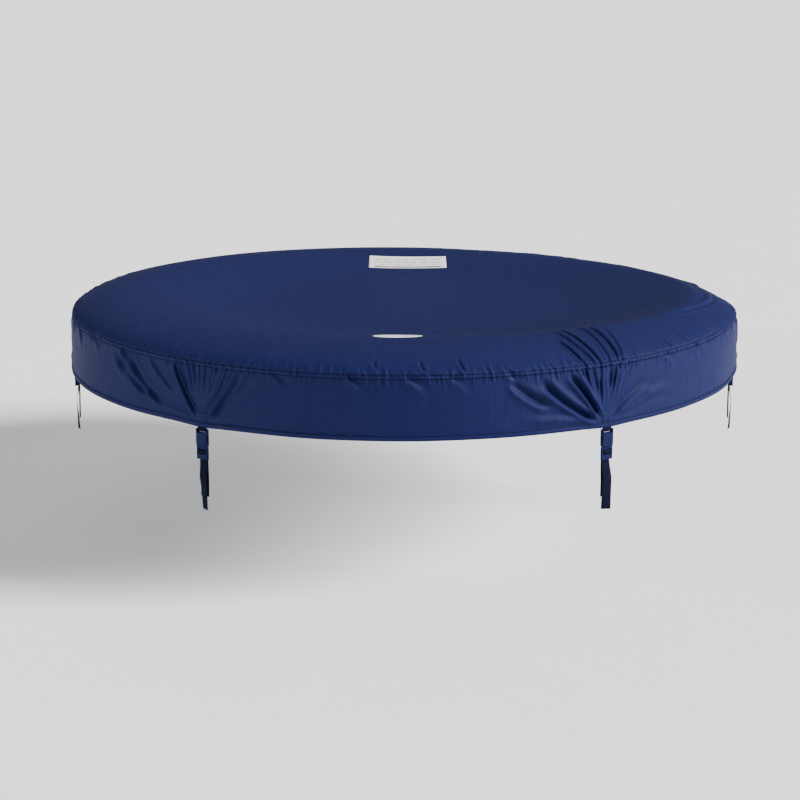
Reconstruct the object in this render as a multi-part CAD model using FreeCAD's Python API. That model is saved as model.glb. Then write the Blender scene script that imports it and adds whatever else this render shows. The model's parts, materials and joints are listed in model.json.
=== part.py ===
"""Fitted cover for a round inflatable spa.

Millimetres, +Z up. The origin is the centre of the circle where the lining rests on the tub's rim.
The front is -Y. Straps hang from the hem, two in front, two behind and one on each side. Each is
drawn once about its own hinge line (X is its width, -Y is outwards) and then turned to its place.
"""

import FreeCAD
import Part

import math
import os

Vec = FreeCAD.Vector
Z_AXIS = Vec(0, 0, 1)
CENTRE = Vec(0, 0, 0)

# ---- driving dimensions ------------------------------------------------------------------------
tub_radius = 900.0  # outside of the tub wall that the skirt goes round
hem_ease = 5.0  # slack between the tub wall and the inside of the skirt at the hem
skirt_lean = 9.0  # how far the seam stands inside the hem
skirt_height = 156.0  # seam to hem edge
fabric_thickness = 2.0  # coated cloth of the top panel and skirt
seam_drop = 24.0  # seam line below the rim seat

crest_set_in = 175.0  # tub wall to the ring where the top stands highest
crest_height = 14.0  # above the rim seat
dish_depth = 42.0  # centre of the top below the rim seat
dish_shape = ((0.62, 0.07), (0.77, 0.27), (0.88, 0.64), (0.95, 0.91))  # shares of reach and rise
shoulder_shape = ((0.32, 0.1), (0.55, 0.19), (0.8, 0.53))  # shares of reach and fall

foam_thickness = 4.0  # insulation under the top panel
lining_thickness = 1.6
layer_gap = 0.2  # air between stacked layers
lining_side_gap = 10.0  # lining's edge to the seam
lining_fall = 4.0  # lining's edge below the seam
foam_set_in = 2.0  # foam's edge inside the lining's edge
seat_set_in = 90.0  # tub wall to the outer edge of the flat seat on its rim

pocket_set_in = 188.0  # tub wall to the inside of the pocket that hangs in the tub's mouth
pocket_wall_thickness = 1.5
bladder_side_gap = 20.0  # bladder to pocket wall
bladder_height = 58.0
bladder_skin = 2.0
bladder_edge = 24.0  # rounding of the bladder's rim
bladder_base_gap = 1.5
bladder_top_gap = 4.3  # bladder to the lowest foam

face_gap = 0.1  # air between the cloth's face and what is sewn to it
seam_band_height = 13.0
seam_band_thickness = 1.2
seam_band_rise = 1.0  # band's upper edge above the seam
hem_band_height = 14.0
hem_band_thickness = 1.5
patch_width = 34.0
patch_height = 26.0
patch_thickness = 0.9
patch_gap = 1.0  # patch above the hem band

label_width = 234.0
label_depth = 105.0
label_set_in = 288.0  # tub wall to the centre of the rear label
badge_width = 120.0
badge_depth = 62.0
badge_set_in = 210.0  # tub wall to the centre of the front badge
badge_thickness = 1.0

zip_end_gap = 74.93  # end of the zip to the pocket's wall, along the zip line
zip_set_in = 292.0  # zip line in front of the rear of the pocket
zip_stop_length = 6.0
zip_tape_width = 13.0
zip_tape_thickness = 0.8
zip_coil_width = 2.6
zip_coil_height = 2.6
zip_split = 0.2  # half of the gap between the two coils
panel_to_zip = 10.0  # panel edge to the zip line
slider_length = 24.0
slider_clearance = 0.5
slider_wall = 1.8
lug_length = 5.0
lug_width = 4.0
lug_rim = 1.0  # metal below the lug's eye
eye_radius = 1.2
eye_drop = 3.0  # slider's floor to the middle of the eye
pin_radius = 0.8
pin_length = 6.0
pull_length = 26.0
pull_width = 9.0
pull_thickness = 1.6
pull_head = 1.6  # middle of the pin to the pull's upper end
pull_window_side = 0.4  # window past the lug on each side
pull_window_drop = 3.4  # middle of the pin to the window's lower edge

valve_x = -250.0
valve_y = -150.0
valve_flange_radius = 26.0
valve_flange_thickness = 2.4
valve_neck_radius = 12.0
valve_bore_radius = 8.0
valve_neck_length = 11.0
valve_cap_radius = 14.0
valve_cap_thickness = 2.6
valve_plug_length = 4.0
valve_plug_taper = 1.4
valve_plug_clearance = 0.4
valve_hole_ease = 4.0  # base panel's hole past the flange
valve_cap_gap = 0.2
valve_tab_width = 8.0
valve_tab_reach = 3.0  # cap's edge to the middle of its living hinge

webbing_width = 24.0
webbing_thickness = 1.2
webbing_slot_side = 1.0  # slot past the webbing on each side
corner_strap_angle = 32.3  # front and rear straps on either side of the front-to-rear line
buckle_side = 5.0  # buckle past the webbing on each side
socket_length = 44.0
socket_thickness = 12.0
socket_rounding = 4.0
socket_end_rounding = 3.5
socket_wall = 2.8
socket_drop = 4.0  # hinge line to the top of the socket
bar_height = 4.6
bar_thickness = 4.0
loop_slot_height = 5.5
loop_clearance = 0.25
loop_neck_length = 2.4  # straight part of the loop below the hinge line
cavity_roof = 2.5  # loop's slot to the top of the cavity
cavity_ease = 1.0  # cavity past the prongs, front and back
window_gap_above = 0.7  # window past the barb's tip
window_gap_below = 1.3  # window past the barb's heel
plug_thickness = 7.0
plug_rounding = 3.0
plug_length = 31.0
plug_gap = 1.0  # socket mouth to the plug's base when closed
ladder_slot_drop = 5.0  # top of the plug to its upper slot
ladder_slot_height = 4.5
ladder_bar_height = 4.5
prong_root_gap = 0.3  # plug's body to the prong's round foot
prong_tip_gap = 6.1  # top of the cavity to the prong's tip
prong_tip_width = 1.2
prong_width = 3.5
prong_set_in = 5.7  # side of the cavity to the inner face of a prong
prong_thickness = 6.0
prong_clearance = 0.3
barb_length = 10.0
barb_shoulder = 5.5  # barb's tip to where it is widest
tongue_width = 6.0
tongue_thickness = 3.6
tongue_short = 2.3  # tongue's end below the prongs' tips
strip_gap = 0.4  # air between the two strips behind the plug
tail_hang = 22.0  # plug's lower end to where the tail hangs in line with the buckle
tail_set_out = 1.0  # tail's end in front of the hinge line
anchor_strip_length = 175.0  # hinge line to the end that the tub holds
tail_length = 210.0  # hinge line to the free end

SKIRT_PANELS = ("skirt_front", "skirt_rear_right", "skirt_rear_left")
PLACES = ("front_left", "front_right", "right", "rear_right", "rear_left", "left")

cut_past = 1.0  # how far a cutting tool runs past what it cuts

# ---- sizes that follow ---------------------------------------------------------------------------
hem_inner = tub_radius + hem_ease
hem_outer = hem_inner + fabric_thickness
seam_outer = hem_outer - skirt_lean
seam_z = -seam_drop
hem_z = seam_z - skirt_height
crest_radius = tub_radius - crest_set_in
seat_outer = tub_radius - seat_set_in
label_radius = tub_radius - label_set_in
badge_radius = tub_radius - badge_set_in
lining_outer = seam_outer - lining_side_gap
pocket_radius = tub_radius - pocket_set_in
wall_outer = pocket_radius + pocket_wall_thickness
foam_bottom = -dish_depth - fabric_thickness - layer_gap - foam_thickness
base_z = foam_bottom - bladder_top_gap - bladder_height - bladder_base_gap
zip_offset = pocket_radius - zip_set_in
zip_length = 2.0 * (math.sqrt(pocket_radius**2 - zip_offset**2) - zip_end_gap)
hinge_radius = hem_outer
hinge_z = hem_z - fabric_thickness
buckle_width = webbing_width + 2.0 * buckle_side
buckle_half = buckle_width / 2.0
cavity_half = buckle_half - socket_wall


# ---- helpers -------------------------------------------------------------------------------------
def profile_face(points):
    """A flat face in the XZ plane from (radius, height) points."""
    corners = [Vec(r, 0, z) for r, z in points]
    return Part.Face(Part.makePolygon(corners + corners[:1]))


def turned(points, start=0.0, sweep=360.0):
    """The solid that (radius, height) points make when they turn about Z."""
    solid = profile_face(points).revolve(CENTRE, Z_AXIS, sweep)
    solid.rotate(CENTRE, Z_AXIS, start)
    return solid


def skirt_radius(z):
    """Outer radius of the skirt at a height."""
    share = (seam_z - z) / skirt_height
    return seam_outer + skirt_lean * share


def skirt_ring(top, bottom, inside, outside, start=0.0, sweep=360.0):
    """A band that follows the skirt between two heights, from inside to outside of its face."""
    points = [
        (skirt_radius(top) + inside, top),
        (skirt_radius(top) + outside, top),
        (skirt_radius(bottom) + outside, bottom),
        (skirt_radius(bottom) + inside, bottom),
    ]
    return turned(points, start, sweep)


def top_curve(drop):
    """The top panel's outer line from the middle to the seam, moved down by drop."""
    edge_z = seam_z + fabric_thickness
    shoulder = seam_outer - crest_radius
    rise = crest_height + dish_depth
    fall = crest_height - edge_z
    knots = [(0.0, -dish_depth)]
    knots += [(reach * crest_radius, share * rise - dish_depth) for reach, share in dish_shape]
    knots.append((crest_radius, crest_height))
    for reach, share in shoulder_shape:
        knots.append((crest_radius + reach * shoulder, crest_height - share * fall))
    knots.append((seam_outer, edge_z))
    curve = Part.BSplineCurve()
    curve.interpolate(Points=[Vec(r, 0, z - drop) for r, z in knots])
    return curve


def top_layer(upper, lower, outer_radius):
    """A layer under the top's outer line, from depth upper to depth lower, out to a radius."""
    over = top_curve(upper).toShape()
    under = top_curve(lower).toShape()
    ends = [edge.valueAt(edge.LastParameter) for edge in (over, under)]
    starts = [edge.valueAt(edge.FirstParameter) for edge in (over, under)]
    rim = Part.makeLine(ends[0], ends[1])
    axis = Part.makeLine(starts[1], starts[0])
    face = Part.Face(Part.Wire(Part.__sortEdges__([over, rim, under, axis])))
    solid = face.revolve(CENTRE, Z_AXIS, 360)
    if outer_radius < seam_outer:
        tall = 4.0 * (dish_depth + crest_height + seam_drop)
        keep = Part.makeCylinder(outer_radius, tall, Vec(0, 0, -tall / 2.0))
        solid = solid.common(keep)
    return solid


def block(width, depth, top, bottom, middle=(0.0, 0.0)):
    """A box from its size in X and Y, centred on middle, between two heights."""
    corner = Vec(middle[0] - width / 2.0, middle[1] - depth / 2.0, bottom)
    return Part.makeBox(width, depth, top - bottom, corner)


def rounded(solid, radius, along):
    """The solid with the edges that run along one axis rounded."""
    edges = []
    for edge in solid.Edges:
        span = edge.valueAt(edge.LastParameter) - edge.valueAt(edge.FirstParameter)
        if abs(abs(span.dot(along)) - edge.Length) < 1e-6:
            edges.append(edge)
    return solid.makeFillet(radius, edges)


def ribbon(points, thickness, width):
    """A flat strip of webbing whose middle line follows (y, z) points, centred in X."""
    left, right = [], []
    count = len(points)
    for i, (y, z) in enumerate(points):
        before = points[max(i - 1, 0)]
        after = points[min(i + 1, count - 1)]
        into = Vec(0, y - before[0], z - before[1])
        out = Vec(0, after[0] - y, after[1] - z)
        into = out if i == 0 else into
        out = into if i == count - 1 else out
        into.normalize()
        out.normalize()
        normal = Vec(0, -(into.z + out.z), into.y + out.y)
        normal.normalize()
        reach = thickness / 2.0 / max(0.5, abs(normal.dot(Vec(0, -into.z, into.y))))
        middle = Vec(-width / 2.0, y, z)
        left.append(middle + normal * reach)
        right.append(middle - normal * reach)
    outline = left + right[::-1]
    face = Part.Face(Part.makePolygon(outline + outline[:1]))
    return face.extrude(Vec(width, 0, 0))


# ---- cloth shell ---------------------------------------------------------------------------------
def make_skirt(index):
    """One of the skirt's equal panels, counted round from the front one."""
    sweep = 360.0 / len(SKIRT_PANELS)
    start = -90.0 - sweep / 2.0 + index * sweep
    return skirt_ring(seam_z, hem_z, -fabric_thickness, 0.0, start, sweep)


def make_seam_band():
    """Folded band of the double-stitched seam, over the top of the skirt."""
    top = seam_z + seam_band_rise
    return skirt_ring(top, top - seam_band_height, face_gap, seam_band_thickness)


def make_hem_band():
    """Turned-up hem on the outside of the skirt's lower edge."""
    return skirt_ring(hem_z + hem_band_height, hem_z, face_gap, hem_band_thickness)


def make_strap_patches(angles):
    """Stitched patches on the skirt, one above each strap, as one group."""
    bottom = hem_z + hem_band_height + patch_gap
    sweep = math.degrees(patch_width / hem_outer)
    patches = []
    for angle in angles:
        start = angle - 90.0 - sweep / 2.0
        top = bottom + patch_height
        patches.append(skirt_ring(top, bottom, face_gap, patch_thickness, start, sweep))
    return Part.makeCompound(patches)


def on_top(outline, thickness):
    """A thin piece that lies on the top panel inside an upright outline solid."""
    skin = top_layer(-face_gap - thickness, -face_gap, seam_outer)
    return skin.common(outline)


def make_label():
    """Rectangular care label sewn to the rear slope of the dish."""
    tall = 2.0 * dish_depth
    outline = block(label_width, label_depth, tall, -tall, (0.0, label_radius))
    return on_top(outline, badge_thickness)


def make_badge():
    """Oval badge on the inside of the front crest."""
    tall = 2.0 * dish_depth
    ellipse = Part.Ellipse(CENTRE, badge_width / 2.0, badge_depth / 2.0)
    face = Part.Face(Part.Wire(ellipse.toShape()))
    face.translate(Vec(0, -badge_radius, -tall))
    return on_top(face.extrude(Vec(0, 0, 2.0 * tall)), badge_thickness)


# ---- layers inside -------------------------------------------------------------------------------
def make_foam():
    """Insulation that follows the underside of the top panel."""
    upper = fabric_thickness + layer_gap
    return top_layer(upper, upper + foam_thickness, lining_outer - foam_set_in)


def make_ring_lining():
    """Lining that sits on the tub's rim: a flat seat, then a shoulder down towards the skirt."""
    low = seam_z - lining_fall
    points = [
        (wall_outer, 0.0),
        (seat_outer, 0.0),
        (lining_outer, low),
        (lining_outer, low + lining_thickness),
        (seat_outer, lining_thickness),
        (wall_outer, lining_thickness),
    ]
    return turned(points)


def make_pocket_wall():
    """Upright band of the pocket that hangs in the tub's mouth."""
    bottom = base_z - lining_thickness
    points = [
        (pocket_radius, lining_thickness),
        (wall_outer, lining_thickness),
        (wall_outer, bottom),
        (pocket_radius, bottom),
    ]
    return turned(points)


def make_pocket_base(rear):
    """One of the two panels of the pocket's base, on either side of the zip."""
    disc = Part.makeCylinder(pocket_radius, lining_thickness, Vec(0, 0, base_z - lining_thickness))
    span = 2.0 * pocket_radius
    opening = zip_length / 2.0 + slider_length
    near = zip_offset - panel_to_zip
    far = zip_offset + panel_to_zip
    top = base_z + cut_past
    bottom = base_z - lining_thickness - cut_past
    slot = block(2.0 * opening, far - near, top, bottom, (0.0, zip_offset))
    if rear:
        keep = block(span, span, top, bottom, (0.0, zip_offset + span / 2.0))
        return disc.common(keep).cut(slot)
    keep = block(span, span, top, bottom, (0.0, zip_offset - span / 2.0))
    hole_radius = valve_flange_radius + valve_hole_ease
    hole = Part.makeCylinder(hole_radius, top - bottom, Vec(valve_x, valve_y, bottom))
    return disc.common(keep).cut(slot).cut(hole)


def bladder_body(inset):
    """The bladder's outer form, moved in on every side by inset."""
    radius = pocket_radius - bladder_side_gap - inset
    bottom = base_z + bladder_base_gap + inset
    height = bladder_height - 2.0 * inset
    disc = Part.makeCylinder(radius, height, Vec(0, 0, bottom))
    rims = [edge for edge in disc.Edges if edge.Closed and edge.Length > math.pi * radius]
    return disc.makeFillet(bladder_edge - inset, rims)


def make_bladder():
    """Inflated insert: a closed skin with air inside."""
    return bladder_body(0.0).cut(bladder_body(bladder_skin))


# ---- zip -----------------------------------------------------------------------------------------
tape_top = base_z - lining_thickness
tape_bottom = tape_top - zip_tape_thickness
coil_bottom = tape_bottom - zip_coil_height
slider_inside = zip_split + zip_coil_width + slider_clearance
slider_bottom = coil_bottom - slider_clearance - slider_wall
slider_x = zip_length / 2.0 - slider_length / 2.0
pull_hinge_z = slider_bottom - eye_drop


def make_zip_tape(side):
    """Woven tape on one side of the zip line; side is -1 in front and 1 behind."""
    middle = zip_offset + side * (zip_split + zip_tape_width / 2.0)
    return block(zip_length, zip_tape_width, tape_top, tape_bottom, (0.0, middle))


def make_zip_coil(side):
    """Nylon coil on the edge of one tape."""
    middle = zip_offset + side * (zip_split + zip_coil_width / 2.0)
    return block(zip_length, zip_coil_width, tape_bottom, coil_bottom, (0.0, middle))


def make_zip_stops():
    """End stops that close the two ends of the zip."""
    depth = 2.0 * (zip_split + zip_coil_width)
    reach = (zip_length + zip_stop_length) / 2.0
    stops = []
    for x in (-reach, reach):
        stops.append(block(zip_stop_length, depth, tape_bottom, coil_bottom, (x, zip_offset)))
    return Part.makeCompound(stops)


def make_zip_slider():
    """Channel that rides under the coils, with a lug for its pull."""
    width = 2.0 * (slider_inside + slider_wall)
    top = tape_bottom - slider_clearance
    body = block(slider_length, width, top, slider_bottom, (slider_x, zip_offset))
    channel_floor = coil_bottom - slider_clearance
    middle = (slider_x, zip_offset)
    long = slider_length + 2.0 * cut_past
    channel = block(long, 2.0 * slider_inside, top + cut_past, channel_floor, middle)
    lug = block(lug_length, lug_width, slider_bottom, pull_hinge_z - eye_radius - lug_rim, middle)
    start = Vec(slider_x, zip_offset - lug_width, pull_hinge_z)
    eye = Part.makeCylinder(eye_radius, 2.0 * lug_width, start, Vec(0, 1, 0))
    return body.cut(channel).fuse(lug).cut(eye).removeSplitter()


def make_zip_pull():
    """Flat tab that hangs from the slider's lug, with a cross pin through the eye."""
    top = pull_hinge_z + pull_head
    bottom = top - pull_length
    middle = (slider_x, zip_offset)
    tab = block(pull_thickness, pull_width, top, bottom, middle)
    deep = pull_thickness + 2.0 * cut_past
    wide = lug_width + 2.0 * pull_window_side
    window = block(deep, wide, top + cut_past, pull_hinge_z - pull_window_drop, middle)
    start = Vec(slider_x, zip_offset - pin_length / 2.0, pull_hinge_z)
    pin = Part.makeCylinder(pin_radius, pin_length, start, Vec(0, 1, 0))
    return tab.cut(window).fuse(pin).removeSplitter()


# ---- valve ---------------------------------------------------------------------------------------
bladder_bottom = base_z + bladder_base_gap
flange_bottom = bladder_bottom - valve_flange_thickness
neck_bottom = flange_bottom - valve_neck_length
cap_top = neck_bottom - valve_cap_gap
cap_hinge_x = valve_x + valve_cap_radius + valve_tab_reach
cap_hinge_z = cap_top - valve_cap_thickness / 2.0


def valve_cylinder(radius, top, bottom):
    """A cylinder on the valve's axis between two heights."""
    return Part.makeCylinder(radius, top - bottom, Vec(valve_x, valve_y, bottom))


def make_valve_base():
    """Welded flange with the neck that a pump's nozzle enters."""
    flange = valve_cylinder(valve_flange_radius, bladder_bottom, flange_bottom)
    neck = valve_cylinder(valve_neck_radius, flange_bottom, neck_bottom)
    bore = valve_cylinder(valve_bore_radius, bladder_bottom, neck_bottom)
    return flange.fuse(neck).cut(bore).removeSplitter()


def make_valve_cap():
    """Cap with a tapered plug and a tab that ends in the bead of its living hinge."""
    disc = valve_cylinder(valve_cap_radius, cap_top, cap_top - valve_cap_thickness)
    root = valve_bore_radius - valve_plug_clearance
    tip = root - valve_plug_taper
    plug = Part.makeCone(root, tip, valve_plug_length, Vec(valve_x, valve_y, cap_top))
    reach = cap_hinge_x - valve_x
    middle = (valve_x + reach / 2.0, valve_y)
    tab = block(reach, valve_tab_width, cap_top, cap_top - valve_cap_thickness, middle)
    start = Vec(cap_hinge_x, valve_y - valve_tab_width / 2.0, cap_hinge_z)
    bead = Part.makeCylinder(valve_cap_thickness / 2.0, valve_tab_width, start, Vec(0, 1, 0))
    return disc.fuse(plug).fuse(tab).fuse(bead).removeSplitter()


# ---- strap and buckle, drawn about the hinge line --------------------------------------------------
socket_top = -socket_drop
socket_mouth = socket_top - socket_length
bar_bottom = socket_top - bar_height
slot_bottom = bar_bottom - loop_slot_height
cavity_top = slot_bottom - cavity_roof
plug_top = socket_mouth - plug_gap
plug_bottom = plug_top - plug_length
upper_slot_top = plug_top - ladder_slot_drop
upper_slot_bottom = upper_slot_top - ladder_slot_height
lower_slot_top = upper_slot_bottom - ladder_bar_height
lower_slot_bottom = lower_slot_top - ladder_slot_height
slot_width = webbing_width + 2.0 * webbing_slot_side
prong_foot = plug_top + prong_root_gap
prong_tip = cavity_top - prong_tip_gap
barb_heel = prong_tip - barb_length


def make_loop():
    """Short loop of webbing from the hem round the socket's bar, with a round upper end."""
    inside = bar_thickness / 2.0 + loop_clearance
    outside = inside + webbing_thickness
    neck = webbing_thickness
    top = socket_top + loop_clearance
    bottom = bar_bottom - loop_clearance
    outline = [
        (-neck, 0.0),
        (neck, 0.0),
        (neck, -loop_neck_length),
        (outside, top),
        (outside, bottom - webbing_thickness),
        (-outside, bottom - webbing_thickness),
        (-outside, top),
        (-neck, -loop_neck_length),
    ]
    start = Vec(-webbing_width / 2.0, 0, 0)
    corners = [start + Vec(0, y, z) for y, z in outline]
    face = Part.Face(Part.makePolygon(corners + corners[:1]))
    body = face.extrude(Vec(webbing_width, 0, 0))
    end = Part.makeCylinder(neck, webbing_width, start, Vec(1, 0, 0))
    hole = block(webbing_width + 2.0 * cut_past, 2.0 * inside, top, bottom)
    return body.fuse(end).cut(hole).removeSplitter()


def make_socket():
    """Upper half of the buckle, with its bar at the top, side windows and a mouth below."""
    body = block(buckle_width, socket_thickness, socket_top, socket_mouth)
    body = rounded(body, socket_rounding, Vec(0, 0, 1))
    body = rounded(body, socket_end_rounding, Vec(1, 0, 0))
    slot = block(slot_width, socket_thickness + 2.0 * cut_past, bar_bottom, slot_bottom)
    shave_depth = (socket_thickness - bar_thickness) / 2.0
    for side in (-1, 1):
        deep = shave_depth + cut_past
        middle = side * (bar_thickness + deep) / 2.0
        shave = block(slot_width, deep, socket_top + cut_past, slot_bottom, (0.0, middle))
        body = body.cut(shave)
    cavity_depth = prong_thickness + 2.0 * cavity_ease
    cavity = block(2.0 * cavity_half, cavity_depth, cavity_top, socket_mouth - cut_past)
    window_top = prong_tip + window_gap_above
    window_bottom = barb_heel - window_gap_below
    windows = block(buckle_width + 2.0 * cut_past, cavity_depth, window_top, window_bottom)
    return body.cut(slot).cut(cavity).cut(windows).removeSplitter()


def make_plug():
    """Lower half of the buckle, with a guide tongue and two ladder slots."""
    body = block(buckle_width, plug_thickness, plug_top, plug_bottom)
    body = rounded(body, plug_rounding, Vec(0, 0, 1))
    tongue = block(tongue_width, tongue_thickness, prong_tip - tongue_short, plug_top)
    deep = plug_thickness + 2.0 * cut_past
    upper = block(slot_width, deep, upper_slot_top, upper_slot_bottom)
    lower = block(slot_width, deep, lower_slot_top, lower_slot_bottom)
    return body.fuse(tongue).cut(upper).cut(lower).removeSplitter()


def make_prong(side):
    """Springy side arm of the plug with its barb and round foot; side is -1 left and 1 right."""
    inner = cavity_half - prong_set_in
    outer = inner + prong_width
    barb = cavity_half - prong_clearance
    foot_radius = prong_width / 2.0
    hinge_line = prong_foot + foot_radius
    outline = [
        (inner, hinge_line),
        (outer, hinge_line),
        (outer, barb_heel),
        (barb, barb_heel),
        (barb, prong_tip - barb_shoulder),
        (inner + prong_tip_width, prong_tip),
        (inner, prong_tip),
    ]
    start = Vec(0, -prong_thickness / 2.0, 0)
    corners = [start + Vec(side * x, 0, z) for x, z in outline]
    face = Part.Face(Part.makePolygon(corners + corners[:1]))
    arm = face.extrude(Vec(0, prong_thickness, 0))
    middle = start + Vec(side * (inner + foot_radius), 0, hinge_line)
    foot = Part.makeCylinder(foot_radius, prong_thickness, middle, Vec(0, 1, 0))
    return arm.fuse(foot).removeSplitter()


def make_webbing():
    """Webbing that comes up behind the plug, over its ladder bar and back down as the tail."""
    behind = plug_thickness / 2.0 + webbing_thickness
    ahead = -behind
    far_behind = behind + webbing_thickness + strip_gap
    upper_middle = (upper_slot_top + upper_slot_bottom) / 2.0
    lower_middle = (lower_slot_top + lower_slot_bottom) / 2.0
    route = [
        (far_behind, -anchor_strip_length),
        (far_behind, upper_middle),
        (ahead, upper_middle - face_gap),
        (ahead, lower_middle),
        (behind, lower_middle - face_gap),
        (behind, plug_bottom - ladder_bar_height),
        (0.0, plug_bottom - tail_hang),
        (-tail_set_out, -tail_length),
    ]
    return ribbon(route, webbing_thickness, webbing_width)


def at_strap(shape, angle):
    """Put a piece drawn about the hinge line at one strap's place on the hem."""
    placed = shape.copy()
    placed.translate(Vec(0, -hinge_radius, hinge_z))
    placed.rotate(CENTRE, Z_AXIS, angle)
    return placed


# ---- write the parts -------------------------------------------------------------------------------
def all_parts():
    """Every node's name with its shape."""
    corner = corner_strap_angle
    angles = (-corner, corner, 90.0, 180.0 - corner, 180.0 + corner, 270.0)
    parts = {
        "top_panel": top_layer(0.0, fabric_thickness, seam_outer),
        "seam_band": make_seam_band(),
        "hem_band": make_hem_band(),
        "strap_patches": make_strap_patches(angles),
        "rear_label": make_label(),
        "front_badge": make_badge(),
        "foam_layer": make_foam(),
        "ring_lining": make_ring_lining(),
        "pocket_wall": make_pocket_wall(),
        "pocket_base_front": make_pocket_base(False),
        "pocket_base_rear": make_pocket_base(True),
        "bladder": make_bladder(),
        "zip_tape_front": make_zip_tape(-1),
        "zip_tape_rear": make_zip_tape(1),
        "zip_coil_front": make_zip_coil(-1),
        "zip_coil_rear": make_zip_coil(1),
        "zip_stops": make_zip_stops(),
        "zip_slider": make_zip_slider(),
        "zip_pull": make_zip_pull(),
        "valve_base": make_valve_base(),
        "valve_cap": make_valve_cap(),
    }
    for index, name in enumerate(SKIRT_PANELS):
        parts[name] = make_skirt(index)
    strap_pieces = {
        "loop": make_loop(),
        "socket": make_socket(),
        "plug": make_plug(),
        "left_prong": make_prong(-1),
        "right_prong": make_prong(1),
        "webbing": make_webbing(),
    }
    for place, angle in zip(PLACES, angles):
        for piece, shape in strap_pieces.items():
            parts[f"{place}_{piece}"] = at_strap(shape, angle)
    return parts


def main():
    """Write one STEP file for each node."""
    os.makedirs("parts", exist_ok=True)
    for name, shape in all_parts().items():
        shape.exportStep(os.path.join("parts", f"{name}.step"))
        solids = len(shape.Solids)
        print(f"{name}: {solids} solid(s), {shape.Volume / 1000.0:.1f} cm3, valid {shape.isValid()}")


main()
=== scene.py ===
"""Visual model of a fitted cover for a round inflatable spa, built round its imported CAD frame.

Cloth is worked out on an unrolled coordinate: s runs round the cover from the front (towards +X),
and h runs up from the hem, over the seam and on along the top. Folds are drawn there once, so that
they cross from the skirt to the top without a break.
"""

import json
import logging
import math
from collections.abc import Callable, Iterable
from dataclasses import dataclass, field

import bmesh
import bpy
import numpy as np
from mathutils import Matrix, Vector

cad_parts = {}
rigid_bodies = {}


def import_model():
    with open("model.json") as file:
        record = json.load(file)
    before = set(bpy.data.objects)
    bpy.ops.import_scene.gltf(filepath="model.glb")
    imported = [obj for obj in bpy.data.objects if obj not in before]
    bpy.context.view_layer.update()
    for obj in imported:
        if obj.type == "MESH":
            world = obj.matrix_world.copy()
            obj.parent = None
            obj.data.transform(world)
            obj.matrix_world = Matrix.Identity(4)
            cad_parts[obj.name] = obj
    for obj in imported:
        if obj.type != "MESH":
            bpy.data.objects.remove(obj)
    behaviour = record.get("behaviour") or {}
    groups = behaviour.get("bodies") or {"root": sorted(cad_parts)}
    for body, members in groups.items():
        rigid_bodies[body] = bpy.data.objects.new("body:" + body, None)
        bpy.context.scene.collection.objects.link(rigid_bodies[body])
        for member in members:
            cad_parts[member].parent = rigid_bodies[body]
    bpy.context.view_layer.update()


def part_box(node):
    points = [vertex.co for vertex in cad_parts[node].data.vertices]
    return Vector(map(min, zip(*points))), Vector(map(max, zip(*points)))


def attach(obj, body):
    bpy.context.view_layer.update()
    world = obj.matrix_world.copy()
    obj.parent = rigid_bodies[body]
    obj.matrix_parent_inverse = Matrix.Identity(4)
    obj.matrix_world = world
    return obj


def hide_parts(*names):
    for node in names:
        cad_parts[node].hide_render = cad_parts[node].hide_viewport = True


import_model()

LOG = logging.getLogger("spa_cover")
Array = np.ndarray
Colour = tuple[float, float, float]
PLACES = ("front_left", "front_right", "right", "rear_right", "rear_left", "left")
COVER = "cover"


# ---- sizes read from the frame -------------------------------------------------------------------
def low(node: str) -> np.ndarray:
    """Lowest corner of a CAD node."""
    return np.array(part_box(node)[0])


def high(node: str) -> np.ndarray:
    """Highest corner of a CAD node."""
    return np.array(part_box(node)[1])


@dataclass(frozen=True)
class CoverSizes:
    """Sizes of the fitted cover in metres, taken from the CAD nodes' boxes."""

    hem_radius: float = float(-low("skirt_front")[1])
    seam_radius: float = float(high("top_panel")[0])
    hem_z: float = float(low("skirt_front")[2])
    seam_z: float = float(high("skirt_front")[2])
    cloth: float = 0.0016
    dish_z: float = float(low("top_panel")[2]) + 0.002
    lining_radius: float = float(high("ring_lining")[0])
    pocket_radius: float = float(high("pocket_wall")[0])
    pocket_z: float = float(low("pocket_wall")[2])

    @property
    def height(self) -> float:
        """Seam to hem."""
        return self.seam_z - self.hem_z

    @property
    def round_length(self) -> float:
        """Length once round at the unrolled radius."""
        return 2.0 * math.pi * UNROLL_RADIUS


UNROLL_RADIUS = 0.9
SIZES = CoverSizes()


def strap_azimuth(place: str) -> float:
    """Angle of one strap round the cover, from the front towards +X, read from its socket."""
    middle = (low(f"{place}_socket") + high(f"{place}_socket")) / 2.0
    return math.atan2(middle[0], -middle[1])


STRAP_AZIMUTHS = tuple(strap_azimuth(place) for place in PLACES)
HINGE_Z = SIZES.hem_z - 0.002


# ---- mesh helpers --------------------------------------------------------------------------------
def smoothstep(x: Array | float) -> Array:
    """Rises from 0 to 1 as 3x^2 - 2x^3 and stays level outside."""
    x = np.clip(x, 0.0, 1.0)
    return x * x * (3.0 - 2.0 * x)


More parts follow.
